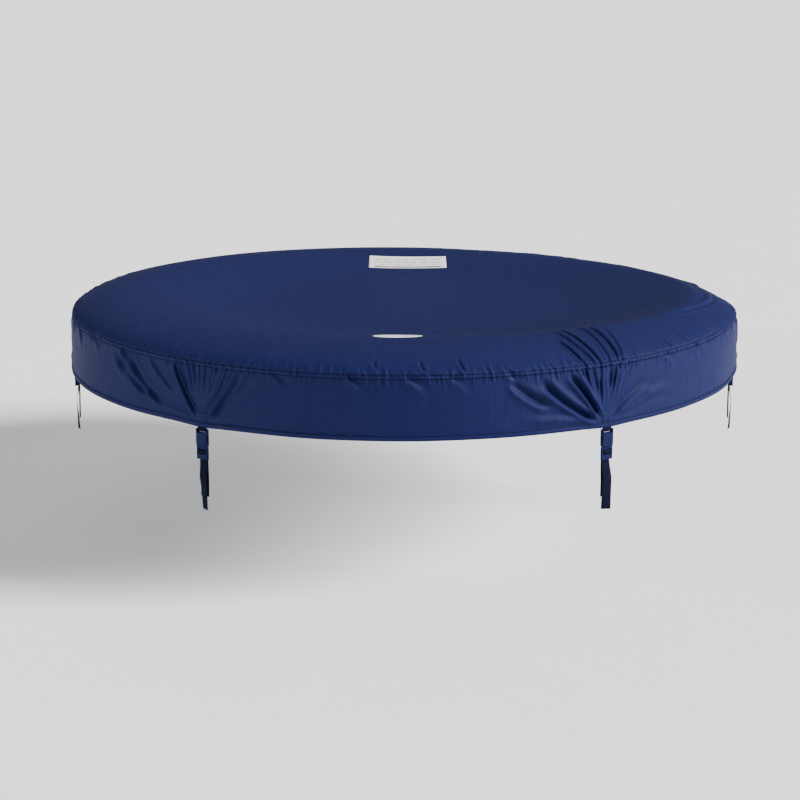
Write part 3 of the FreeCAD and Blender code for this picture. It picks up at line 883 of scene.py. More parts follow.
@dataclass(frozen=True)
class Foil:
    """Silver lining: foil laminated to thin foam, with a small quilted emboss."""

    name: str = "foil_lining"
    cell: float = 0.012

    def build(self) -> bpy.types.Material:
        """Make the material."""
        f = Finish(self.name)
        x, y, _ = f.parts(f.place())
        turn = 2.0 * math.pi / self.cell
        quilt = (x * turn).sin() * (y * turn).sin()
        crush = f.noise(f.place(), 38.0, 6.0, 0.7)
        f.set(Base_Color=f.mix(crush, (0.50, 0.52, 0.54), (0.76, 0.77, 0.79)), Metallic=0.75)
        f.set(Roughness=(0.30 + 0.28 * crush).clamp())
        f.bump([(quilt, 0.00035), (crush, 0.0016)])
        return f.material


@dataclass(frozen=True)
class Film:
    """Flexible vinyl film of the bladder."""

    name: str = "vinyl_film"
    colour: Colour = (0.36, 0.41, 0.46)

    def build(self) -> bpy.types.Material:
        """Make the material."""
        f = Finish(self.name)
        crush = f.noise(f.place(), 14.0, 5.0, 0.6)
        f.set(Base_Color=f.mix(crush, self.colour, tuple(1.25 * c for c in self.colour)))
        f.set(Roughness=(0.32 + 0.2 * crush).clamp(), Specular_IOR_Level=0.5)
        f.bump([(crush, 0.0035)])
        return f.material


@dataclass(frozen=True)
class Foam:
    """Closed-cell foam sheet."""

    name: str = "white_foam"

    def build(self) -> bpy.types.Material:
        """Make the material."""
        f = Finish(self.name)
        cells = f.term(f.node("ShaderNodeTexVoronoi", None, {"Vector": f.place(), "Scale": 320.0}))
        f.set(Base_Color=f.mix(cells, (0.86, 0.87, 0.88), (0.74, 0.76, 0.78)), Roughness=0.8)
        f.bump([(cells, 0.0006)])
        return f.material


@dataclass(frozen=True)
class PrintedLabel:
    """White vinyl label with plain grey bars and one thin two-colour rule; it holds no writing."""

    name: str = "care_label"
    width: float = 0.234
    depth: float = 0.105

    def build(self) -> bpy.types.Material:
        """Make the material."""
        f = Finish(self.name)
        along, up, _ = f.parts(f.uv())
        u, v = along / self.width + 0.5, up / self.depth + 0.5
        inside = u.above(0.07, 0.01) * (1.0 - u.above(0.93, 0.01))
        rows = (v * (2.0 * math.pi * 4.5)).sin().above(0.35, 0.3)
        gaps = f.noise(f.stretched(f.uv(), (70.0, 190.0, 1.0)), 1.0, 0.0).above(0.47, 0.05)
        band = v.above(0.26, 0.02) * (1.0 - v.above(0.90, 0.02))
        bars = rows * gaps * inside * band
        rule = v.above(0.05, 0.01) * (1.0 - v.above(0.14, 0.01)) * inside
        colour = f.mix(bars * 0.8, (0.76, 0.76, 0.75), (0.14, 0.15, 0.17))
        colour = f.tint(colour, rule * (1.0 - u.above(0.34, 0.005)), (0.30, 0.05, 0.03))
        colour = f.tint(colour, rule * u.above(0.34, 0.005), (0.02, 0.05, 0.04))
        f.set(Base_Color=colour, Roughness=0.38, Specular_IOR_Level=0.5)
        f.bump([(f.noise(f.uv(), 40.0, 3.0), 0.0006)])
        return f.material


@dataclass(frozen=True)
class WhiteBadge:
    """White oval badge with a plain grey ring inside its edge."""

    name: str = "oval_badge"
    half_width: float = 0.060
    half_depth: float = 0.031

    def build(self) -> bpy.types.Material:
        """Make the material."""
        f = Finish(self.name)
        along, up, _ = f.parts(f.uv())
        reach = ((along / self.half_width) ** 2.0 + (up / self.half_depth) ** 2.0) ** 0.5
        ring = reach.above(0.74, 0.02) * (1.0 - reach.above(0.80, 0.02))
        wave = (up / self.half_depth + (along * 60.0).sin() * 0.18).math("ABSOLUTE")
        stripe = (1.0 - wave.above(0.12, 0.04)) * (1.0 - reach.above(0.62, 0.02))
        f.set(Base_Color=f.mix((ring + stripe).clamp() * 0.6, (0.82, 0.82, 0.81), (0.30, 0.34, 0.42)))
        f.set(Roughness=0.34, Specular_IOR_Level=0.5)
        f.bump([(ring, 0.0002), (f.noise(f.uv(), 60.0, 3.0), 0.0003)])
        return f.material


class Materials:
    """Every finish of the cover, built once."""

    def __init__(self) -> None:
        """Build the materials."""
        self.cloth = CoatedCloth().build()
        self.thread = Thread().build()
        self.webbing = Webbing().build()
        self.buckle = MouldedPlastic("navy_buckle_nylon", (0.0056, 0.0080, 0.0440)).build()
        self.zip_coil = MouldedPlastic("zip_coil_nylon", (0.020, 0.021, 0.026), 0.35).build()
        self.zip_metal = MouldedPlastic("painted_zip_metal", (0.030, 0.030, 0.034), 0.30).build()
        self.valve = MouldedPlastic("valve_plastic", (0.62, 0.65, 0.68), 0.34).build()
        dark, light = (0.010, 0.011, 0.016), (0.030, 0.032, 0.042)
        self.tape = Webbing("zip_tape_weave", dark, light, 0.0012).build()
        self.foil = Foil().build()
        self.film = Film().build()
        self.foam = Foam().build()
        self.label = PrintedLabel().build()
        self.badge = WhiteBadge().build()


def finish_piece(
    obj: bpy.types.Object, material: bpy.types.Material, body: str, slot: str, *nodes: str
) -> None:
    """Dress a new piece, let it ride on its body and stand for its CAD nodes.

    Args:
        obj: the piece.
        material: its only material.
        body: body that carries it.
        slot: not used.
        nodes: CAD nodes that it replaces.
    """
    obj.data.materials.clear()
    obj.data.materials.append(material)
    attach(obj, body)
    if nodes:
        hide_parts(*nodes)
    LOG.info("%s: %d faces on %s", obj.name, len(obj.data.polygons), body)


# ---- the cover's cloth ------------------------------------------------------------------------------
@dataclass
class OuterShell:
    """Top panel, skirt panels, seam band, hem band, patches and stitches."""

    cloth: Cloth
    form: TopForm
    materials: Materials
    columns: int = 1400
    wall_rings: int = 18
    rim_rings: int = 28
    front_grid: tuple[int, int] = (1060, 78)
    rear_grid: tuple[int, int] = (800, 52)
    inside_rows: int = 14

    def top_panel(self) -> bpy.types.Object:
        """The top panel as a closed cloth shell with its folds."""
        azimuth = spread(-math.pi, math.pi, self.columns, False)
        fine = self.form.rings(self.wall_rings, self.rim_rings)
        coarse = self.form.rings(10, 8)
        outer, _ = self.form.at(azimuth, fine, 0.0)
        below = SIZES.cloth + 0.0004 + self.form.room(azimuth)
        inner, _ = self.form.at(azimuth, coarse, -below, rough=False)
        obj = disc_shell("top_cloth", outer, inner, outer[..., :2], inner[..., :2])
        finish_piece(obj, self.materials.cloth, COVER, "shell_cloth", "top_panel")
        return obj

    def skirt_panel(
        self, name: str, node: str, start: float, stop: float, grid: tuple[int, int]
    ) -> bpy.types.Object:
        """One panel of the skirt as a closed cloth shell between two azimuths.

        Args:
            name: object's name.
            node: CAD node that it stands for.
            start: first azimuth.
            stop: last azimuth.
            grid: how many columns and rows its face has.

        Returns:
            The panel's object.
        """
        azimuth = spread(start, stop, grid[0], True)
        fine = np.linspace(0.0, SIZES.height, grid[1])[None, :]
        coarse = np.linspace(0.0, SIZES.height, self.inside_rows)[None, :]
        outer = self.cloth.skirt(azimuth, fine, 0.0)
        inner = self.inside(azimuth, outer, coarse)
        uv = [unrolled(azimuth, np.broadcast_to(h, (len(azimuth), h.shape[1]))) for h in (fine, coarse)]
        obj = shell(name, outer, inner, False, *uv)
        finish_piece(obj, self.materials.cloth, COVER, "shell_cloth", node)
        SIZES.height
        return obj

    def inside(self, azimuth: Array, outer: Array, coarse: Array) -> Array:
        """Back of the cloth on fewer rows, kept behind the deepest point near each row.

        Args:
            azimuth: column of angles.
            outer: points of the face.
            coarse: heights of the rows wanted.

        Returns:
            Points of the back.
        """
        reach = np.hypot(outer[..., 0], outer[..., 1])
        rows, count = outer.shape[1], coarse.shape[1]
        step = (rows - 1) / (count - 1)
        radius, height = [], []
        for k in range(count):
            first, last = int(max(0.0, (k - 1) * step)), int(min(rows, (k + 1) * step + 2))
            radius.append(reach[:, first:last].min(axis=1) - SIZES.cloth)
            height.append(outer[:, round(k * step), 2])
        r, z = np.stack(radius, axis=1), np.stack(height, axis=1)
        return np.stack([r * np.sin(azimuth), -r * np.cos(azimuth), z], axis=-1)

    def band(
        self, name: str, node: str, bottom: float, top: float, thickness: float, grooves: Iterable[float]
    ) -> bpy.types.Object:
        """A folded band on the skirt's face, rounded at its edges and drawn in along its stitches.

        Args:
            name: object's name.
            node: CAD node that it stands for.
            bottom: lower edge above the hem.
            top: upper edge above the hem.
            thickness: how far it stands out from the cloth.
            grooves: shares of the band's height where stitches draw it in.

        Returns:
            The band's object.
        """
        azimuth = spread(-math.pi, math.pi, self.columns, False)
        share = np.linspace(0.0, 1.0, 19)[None, :]
        h = np.broadcast_to(bottom + (top - bottom) * share, (self.columns, 19))
        full = thickness * np.clip(np.sin(math.pi * share), 0.0, 1.0) ** 0.35
        for groove in grooves:
            full = full * (1.0 - 0.85 * np.exp(-(((share - groove) / 0.07) ** 2)))
        outer = self.cloth.skirt(azimuth, h, 0.0003 + full)
        inner = self.cloth.skirt(azimuth, h, -0.0004)
        obj = shell(name, outer, inner, True, unrolled(azimuth, h), unrolled(azimuth, h))
        finish_piece(obj, self.materials.cloth, COVER, "shell_cloth", node)
        return obj

    def stitches(
        self, name: str, rows: Iterable[float], offset: float, pitch: float, thread: float
    ) -> bpy.types.Object:
        """Rows of sewing stitches that follow the skirt.

        Each stitch is a small six-sided lens: a square section swells from its tail to its middle and
        closes again at its head.

        Args:
            name: object's name.
            rows: heights of the rows above the hem.
            offset: distance of the thread's middle from the cloth's face.
            pitch: distance from one stitch to the next.
            thread: radius of the thread.

        Returns:
            All the stitches as one object.
        """
        count = int(SIZES.round_length / pitch)
        start = np.linspace(-math.pi, math.pi, count, endpoint=False)
        along = np.array([-0.36, 0.0, 0.36]) * pitch / UNROLL_RADIUS
        swell = np.array([0.35, 1.0, 0.35])
        ring = np.array([(1.0, 0.0), (0.0, 0.8), (-1.0, 0.0), (0.0, -0.8)]) * thread
        blocks = []
        for h in rows:
            azimuth = (start[:, None] + along[None, :]).reshape(-1, 1)
            rounds = np.tile(swell, count)[:, None]
            base = self.cloth.skirt(azimuth, h + rounds * ring[None, :, 0], 0.0)
            blocks.append(base + normal_push(azimuth, offset + rounds * ring[None, :, 1]))
        points = np.concatenate(blocks).reshape(-1, 12, 3)
        one = grid_faces(3, 4, False, True).tolist()
        numbers = np.arange(len(points))[:, None, None] * 12
        quads = (np.array(one)[None] + numbers).reshape(-1, 4)
        caps = np.array([[0, 1, 2, 3], [11, 10, 9, 8]])[None] + numbers
        obj = new_object(name, points, np.concatenate([quads, caps.reshape(-1, 4)]))
        recalculate_outwards(obj)
        finish_piece(obj, self.materials.thread, COVER, "shell_cloth")
        return obj

    def patches(self) -> bpy.types.Object:
        """Stitched patches on the skirt above the straps."""
        half = (high("front_left_loop") - low("front_left_loop"))[0] * 0.62
        points, uv, faces = [], [], []
        share = np.linspace(-1.0, 1.0, 13)
        for index, strap in enumerate(STRAP_AZIMUTHS):
            azimuth = (strap + share * half / UNROLL_RADIUS)[:, None]
            h = np.broadcast_to(0.013 + 0.024 * np.linspace(0.0, 1.0, 9)[None, :], (13, 9))
            edge = (1.0 - share[:, None] ** 8) * (1.0 - np.linspace(-1.0, 1.0, 9)[None, :] ** 8)
            outer = self.cloth.skirt(azimuth, h, 0.0) + normal_push(azimuth, 0.0002 + 0.0010 * edge)
            inner = self.cloth.skirt(azimuth, h, -0.0004)
            both = np.concatenate([outer, inner[:, ::-1]], axis=1)
            start = index * both.shape[0] * both.shape[1]
            faces += grid_faces(both.shape[0], both.shape[1], False, True, start).tolist()
            points.append(both.reshape(-1, 3))
            flat = unrolled(azimuth, h)
            uv.append(np.concatenate([flat, flat[:, ::-1]], axis=1).reshape(-1, 2))
            last = start + (both.shape[0] - 1) * both.shape[1]
            faces.append(list(range(start, start + both.shape[1])))
            faces.append(list(range(last, last + both.shape[1]))[::-1])
        obj = new_object("strap_patch_cloth", np.concatenate(points), faces, np.concatenate(uv))
        recalculate_outwards(obj)
        finish_piece(obj, self.materials.cloth, COVER, "shell_cloth", "strap_patches")
        return obj

    def build(self) -> None:
        """Make and dress every piece of the outer shell; the skirt's three panels are equal."""
        self.top_panel()
        sweep = 2.0 * math.pi / 3.0
        for index, node in enumerate(("skirt_front", "skirt_rear_right", "skirt_rear_left")):
            start = (index - 0.5) * sweep
            grid = self.rear_grid if index else self.front_grid
            self.skirt_panel(f"{node}_cloth", node, start, start + sweep, grid)
        seam = SIZES.height
        self.band("seam_fold", "seam_band", seam - 0.0125, seam + 0.0005, 0.0013, (0.15, 0.84))
        self.band("hem_fold", "hem_band", -0.0004, 0.0135, 0.0016, (0.82,))
        self.stitches("seam_stitches", (seam - 0.0016, seam - 0.0106), 0.0009, 0.0052, 0.00100)
        self.stitches("hem_stitches", (0.0110,), 0.0012, 0.0052, 0.00085)
        self.patches()


def normal_push(azimuth: Array, distance: Array) -> Array:
    """Outward steps of the given size, level with the ground."""
    distance = np.asarray(distance)
    azimuth = np.broadcast_to(azimuth, distance.shape)
    return np.stack([np.sin(azimuth) * distance, -np.cos(azimuth) * distance, 0.0 * distance], axis=-1)


def disc_shell(
    name: str, outer: Array, inner: Array, uv_outer: Array, uv_inner: Array
) -> bpy.types.Object:
    """A closed shell from two round grids whose first ring is a single point.

    Args:
        name: object's name.
        outer: columns by n by 3 points of the upper skin, from the middle outwards.
        inner: columns by m by 3 points of the lower skin, in the same order.
        uv_outer: flat coordinates of the upper skin.
        uv_inner: flat coordinates of the lower skin.

    Returns:
        The shell's object.
    """
    rows, many = outer.shape[:2]
    few = inner.shape[1]
    points = np.concatenate([outer[:, 1:], inner[:, :0:-1]], axis=1)
    uv = np.concatenate([uv_outer[:, 1:], uv_inner[:, :0:-1]], axis=1)
    columns = many - 1 + few - 1
    faces = grid_faces(rows, columns, True, False).tolist()
    poles = np.stack([outer[:, 0].mean(axis=0), inner[:, 0].mean(axis=0)])
    pole_uv = np.stack([uv_outer[:, 0].mean(axis=0), uv_inner[:, 0].mean(axis=0)])
    top, bottom = rows * columns, rows * columns + 1
    for i in range(rows):
        following = (i + 1) % rows
        faces.append([i * columns, following * columns, top])
        faces.append([following * columns + columns - 1, i * columns + columns - 1, bottom])
    vertices = np.concatenate([points.reshape(-1, 3), poles])
    obj = new_object(name, vertices, faces, np.concatenate([uv.reshape(-1, 2), pole_uv]))
    recalculate_outwards(obj)
    return obj


@dataclass
class TopLabels:
    """Rear care label and front badge, both lying on the top's cloth."""

    form: TopForm
    materials: Materials

    def lay(
        self, name: str, node: str, drift: float, outline: Callable[[Array, Array], tuple[Array, Array]]
    ) -> bpy.types.Object:
        """A thin piece that lies on the top.

        Args:
            name: object's name.
            node: CAD node that it stands for.
            drift: how far it has crept sideways from its true place.
            outline: maps two shares from -1 to 1 to places across the piece.

        Returns:
            The object.
        """
        middle = (low(node) + high(node)) / 2.0
        a, b = np.meshgrid(np.linspace(-1, 1, 61), np.linspace(-1, 1, 41), indexing="ij")
        across, deep = outline(a, b)
        x, y = middle[0] + drift + across, middle[1] + deep
        ground = self.ground(x, y)
        edge = (1.0 - np.abs(a) ** 14) * (1.0 - np.abs(b) ** 14)
        outer = np.stack([x, y, ground + 0.0004 + 0.0006 * edge], axis=-1)
        inner = np.stack([x, y, ground + 0.0001], axis=-1)
        uv = np.stack([across, deep], axis=-1)
        return shell(name, outer, inner, False, uv, uv)

    def ground(self, x: Array, y: Array) -> Array:
        """Height of the cloth at plan points, by finding the ring that passes through each."""
        azimuth = np.arctan2(x, -y).reshape(-1, 1)
        radius = np.hypot(x, y).reshape(-1, 1)
        v = np.linspace(0.5, 1.6, 221)[None, :]
        points, _ = self.form.at(azimuth, v, 0.0)
        reach = np.hypot(points[..., 0], points[..., 1])
        z = [np.interp(radius[i, 0], reach[i], points[i, :, 2]) for i in range(len(radius))]
        return np.array(z).reshape(x.shape)

    def build(self) -> None:
        """Make both pieces."""
        size = (high("rear_label") - low("rear_label")) / 2.0
        label = self.lay("care_label", "rear_label", 0.012, lambda a, b: (a * size[0], b * size[1]))
        finish_piece(label, self.materials.label, COVER, "label", "rear_label")
        oval = (high("front_badge") - low("front_badge")) / 2.0

        def ellipse(a: Array, b: Array) -> tuple[Array, Array]:
            """A square of shares pressed to a disc, then drawn out to the oval."""
            return (
                oval[0] * a * np.sqrt(1.0 - b * b / 2.0),
                oval[1] * b * np.sqrt(1.0 - a * a / 2.0),
            )

        badge = self.lay("oval_badge", "front_badge", -0.017, ellipse)
        finish_piece(badge, self.materials.badge, COVER, "label", "front_badge")


@dataclass
class Underside:
    """Foam, lining, pocket and bladder below the top panel."""

    form: TopForm
    materials: Materials
    columns: int = 360
    foam_room: float = 0.0022
    gap: float = 0.0012
    lining_cloth: float = 0.0014
    last_ring: float = 1.8

    def azimuths(self) -> Array:
        """Angles once round as a column."""
        return np.linspace(-math.pi, math.pi, self.columns, endpoint=False)[:, None]

    def depth(self, azimuth: Array) -> Array:
        """How far below the cloth's smooth face the foam starts."""
        return SIZES.cloth + self.gap + self.form.room(azimuth)

    def foam(self) -> None:
        """Foam sheet that follows the underside of the top."""
        azimuth = self.azimuths()
        rings = np.unique(np.minimum(self.form.rings(16, 18), self.last_ring))[None, :]
        upper, h_upper = self.form.at(azimuth, rings, -self.depth(azimuth), rough=False)
        lower, h_lower = self.form.at(azimuth, rings, -self.depth(azimuth) - self.foam_room, rough=False)
        obj = disc_shell("foam_sheet", upper, lower, unrolled(azimuth, h_upper), unrolled(azimuth, h_lower))
        finish_piece(obj, self.materials.foam, COVER, "foam", "foam_layer")

    def sheet(self, name: str, node: str, face: Array, back: Array) -> None:
        """A lining piece that goes once round.

        Args:
            name: object's name.
            node: CAD node that it stands for.
            face: points of its face.
            back: points of its back.
        """
        length = np.linalg.norm(np.diff(face, axis=1), axis=2).mean(axis=0)
        up = np.broadcast_to(np.concatenate([[0.0], np.cumsum(length)]), face.shape[:2])
        uv = unrolled(self.azimuths(), up)
        obj = shell(name, face, back, True, uv, uv)
        finish_piece(obj, self.materials.foil, COVER, "lining", node)

    def lining(self) -> None:
        """Ring of lining below the foam, and the pocket's upright wall that hangs from it."""
        azimuth = self.azimuths()
        inside = SIZES.pocket_radius
        first = inside / self.form.crest_radius(azimuth)
        v = first + (self.last_ring - first) * np.linspace(0.0, 1.0, 30)[None, :]
        below = self.depth(azimuth) + self.foam_room + self.gap
        face, _ = self.form.at(azimuth, v, -below, rough=False)
        back, _ = self.form.at(azimuth, v, -below - self.lining_cloth, rough=False)
        self.sheet("rim_lining", "ring_lining", face, back)
        share = np.linspace(0.0, 1.0, 16)[None, :]
        gather = 0.0012 * np.sin(58.0 * azimuth) * np.sin(math.pi * share)
        z = SIZES.pocket_z + (face[:, :1, 2] - 0.0004 - SIZES.pocket_z) * share
        skins = []
        for step in (0.0002, 0.0016):
            r = inside - step - gather
            skins.append(np.stack([r * np.sin(azimuth), -r * np.cos(azimuth), z + 0.0 * r], axis=-1))
        self.sheet("pocket_band", "pocket_wall", skins[0], skins[1])

    def bladder(self) -> None:
        """Inflated insert: two skins welded round their rim and along rings of spot welds."""
        azimuth = self.azimuths()
        radius = high("bladder")[0]
        top, bottom = high("bladder")[2], low("bladder")[2]
        share = np.linspace(0.0, 1.0, 60)[None, :]
        r = radius * share + 0.0 * azimuth
        middle, half = (top + bottom) / 2.0, (top - bottom) / 2.0
        rim = np.sqrt(np.clip(1.0 - share**18, 0.0, 1.0))
        rows = np.exp(-((np.sin(5.0 * math.pi * share) / 0.30) ** 2))
        dimple = 0.010 * rows * (np.cos(18.0 * azimuth) ** 8)
        swell = np.clip(half * rim - dimple * rim, 0.0006, None)
        skins = []
        for side in (1.0, -1.0):
            z = middle + side * swell
            skins.append(np.stack([r * np.sin(azimuth), -r * np.cos(azimuth), z], axis=-1))
        uv = unrolled(azimuth, r)
        obj = disc_shell("air_bladder", skins[0], skins[1], uv, uv)
        finish_piece(obj, self.materials.film, COVER, "bladder_skin", "bladder")

    def build(self) -> None:
        """Make every piece under the top."""
        self.foam()
        self.lining()
        self.bladder()


@dataclass
class PocketBase:
    """Foil panels of the pocket's base and the zip between them, all thin flexible pieces."""

    materials: Materials
    overlap: float = 0.010
    half_cloth: float = 0.0006
    coil_pitch: float = 0.0025

    @property
    def zip_y(self) -> float:
        """The zip's line."""
        return float(high("zip_tape_front")[1] + low("zip_tape_rear")[1]) / 2.0

    @property
    def opening(self) -> float:
        """Half of the length where the panels stand back from the zip."""
        return float(high("zip_tape_front")[0] + (high("zip_slider") - low("zip_slider"))[0])

    def skins(self, x: Array, y: Array, edge: Array, node: str) -> tuple[Array, Array]:
        """Both faces of a panel that is held at its edges and sags between them.

        The sag is a smooth step of the distance from the edge, with two crossing waves on it.
        """
        middle = float(low(node)[2] + high(node)[2]) / 2.0
        held = smoothstep(edge / 0.12)
        waves = np.sin(9.0 * x + 4.0 * y) * np.sin(7.0 * y - 3.0 * x + 1.0)
        z = middle - held * (0.0035 + 0.0020 * waves)
        return tuple(np.stack([x, y, z + side * self.half_cloth], axis=-1) for side in (1.0, -1.0))

    def front(self) -> None:
        """Large panel with the valve's hole: rays from the hole out to the panel's outline."""
        valve = (low("valve_base") + high("valve_base")) / 2.0
        hole = float(high("valve_base")[0] - low("valve_base")[0]) / 2.0 + 0.004
        disc = float(high("pocket_base_front")[0])
        turn = np.linspace(-math.pi, math.pi, 361)[:-1, None]
        ux, uy = np.cos(turn), np.sin(turn)
        toward = valve[0] * ux + valve[1] * uy
        out = -toward + np.sqrt(toward**2 + disc**2 - valve[0] ** 2 - valve[1] ** 2)
        rising = np.where(uy > 0.02, uy, 0.02)
        near = (self.zip_y - self.overlap - valve[1]) / rising
        near = np.where(np.abs(valve[0] + near * ux) > self.opening, (self.zip_y - valve[1]) / rising, near)
        out = np.where(uy > 0.02, np.minimum(out, near), out)
        share = np.linspace(0.0, 1.0, 46)[None, :]
        reach = hole + (out - hole) * share
        x, y = valve[0] + reach * ux, valve[1] + reach * uy
        skins = self.skins(x, y, np.minimum(out - reach, reach - hole), "pocket_base_front")
        self.panel("front_base_sheet", "pocket_base_front", skins, True)

    def rear(self) -> None:
        """Small panel behind the zip: columns from the zip back to the round edge."""
        disc = float(high("pocket_base_front")[0])
        half = math.sqrt(disc**2 - self.zip_y**2) - 0.0008
        x = half * np.linspace(-1.0, 1.0, 201)[:, None]
        start = np.where(np.abs(x) < self.opening, self.zip_y + self.overlap, self.zip_y + 0.0002)
        stop = np.maximum(np.sqrt(disc**2 - x**2), start + 0.0004)
        y = start + (stop - start) * np.linspace(0.0, 1.0, 30)[None, :]
        skins = self.skins(x + 0.0 * y, y, np.minimum(stop - y, y - start), "pocket_base_rear")
        self.panel("rear_base_sheet", "pocket_base_rear", skins, False)

    def panel(
        self, name: str, node: str, skins: tuple[Array, Array], closed: bool
    ) -> None:
        """Make one panel.

        Args:
            name: object's name.
            node: CAD node that it stands for.
            skins: its two faces.
            closed: true where its grid goes all the way round.
        """
        obj = shell(name, skins[0], skins[1], closed, skins[0][..., :2], skins[1][..., :2])
        finish_piece(obj, self.materials.foil, COVER, "lining", node)

    def tape(self, side: str) -> None:
        """Woven tape with a slight ripple."""
        node = f"zip_tape_{side}"
        a, b = low(node), high(node)
        x = np.linspace(a[0], b[0], 240)[:, None]
        across = np.linspace(-0.5, 0.5, 9)[None, :]
        y = (a[1] + b[1]) / 2.0 + across * (b[1] - a[1]) + 0.0 * x
        thick = (b[2] - a[2]) / 2.0 * (1.0 - (2.0 * across) ** 6 * 0.7)
        z = (a[2] + b[2]) / 2.0 + 0.0002 * np.sin(40.0 * x)
        skins = [np.stack([x + 0.0 * y, y, z + way * thick], axis=-1) for way in (1.0, -1.0)]
        uv = np.stack([across * (b[1] - a[1]) + 0.0 * x, x + 0.0 * across], axis=-1)
        obj = shell(f"{side}_zip_tape", skins[0], skins[1], False, uv, uv)
        finish_piece(obj, self.materials.tape, COVER, "zip_tape", node)

    def coil(self, side: str) -> None:
        """One spiral of the zip: a round wire wound along X inside its CAD node's section."""
        node = f"zip_coil_{side}"
        a, b = low(node), high(node)
        middle, half = (a + b) / 2.0, (b - a) / 2.0
        turns = int((b[0] - a[0]) / self.coil_pitch)
        wire = 0.00042
        t = np.linspace(0.0, 2.0 * math.pi * turns, turns * 12 + 1)
        phase = 0.0 if side == "front" else math.pi
        spoke = np.stack([0.0 * t, np.cos(t + phase), np.sin(t + phase)], axis=1)
        line = middle + spoke * (half - wire) * np.array([0.0, 1.0, 1.0])
        line[:, 0] = a[0] + wire + (b[0] - a[0] - 2.0 * wire) * t / t[-1]
        ahead = np.gradient(line, axis=0)
        ahead /= np.linalg.norm(ahead, axis=1)[:, None]
        aside = np.cross(ahead, spoke)
        ring = np.linspace(0.0, 2.0 * math.pi, 7)[:-1]
        points = line[:, None] + wire * (
            spoke[:, None] * np.cos(ring)[None, :, None] + aside[:, None] * np.sin(ring)[None, :, None]
        )
        faces = grid_faces(len(t), 6, False, True).tolist()
        faces += [list(range(6)), [(len(t) - 1) * 6 + k for k in range(6)][::-1]]
        obj = new_object(f"{side}_zip_coil", points, faces)
        recalculate_outwards(obj)
        finish_piece(obj, self.materials.zip_coil, COVER, "zip_tape", node)

    def build(self) -> None:
        """Make both panels, tapes and coils."""
        self.front()
        self.rear()
        for side in ("front", "rear"):
            self.tape(side)
            self.coil(side)


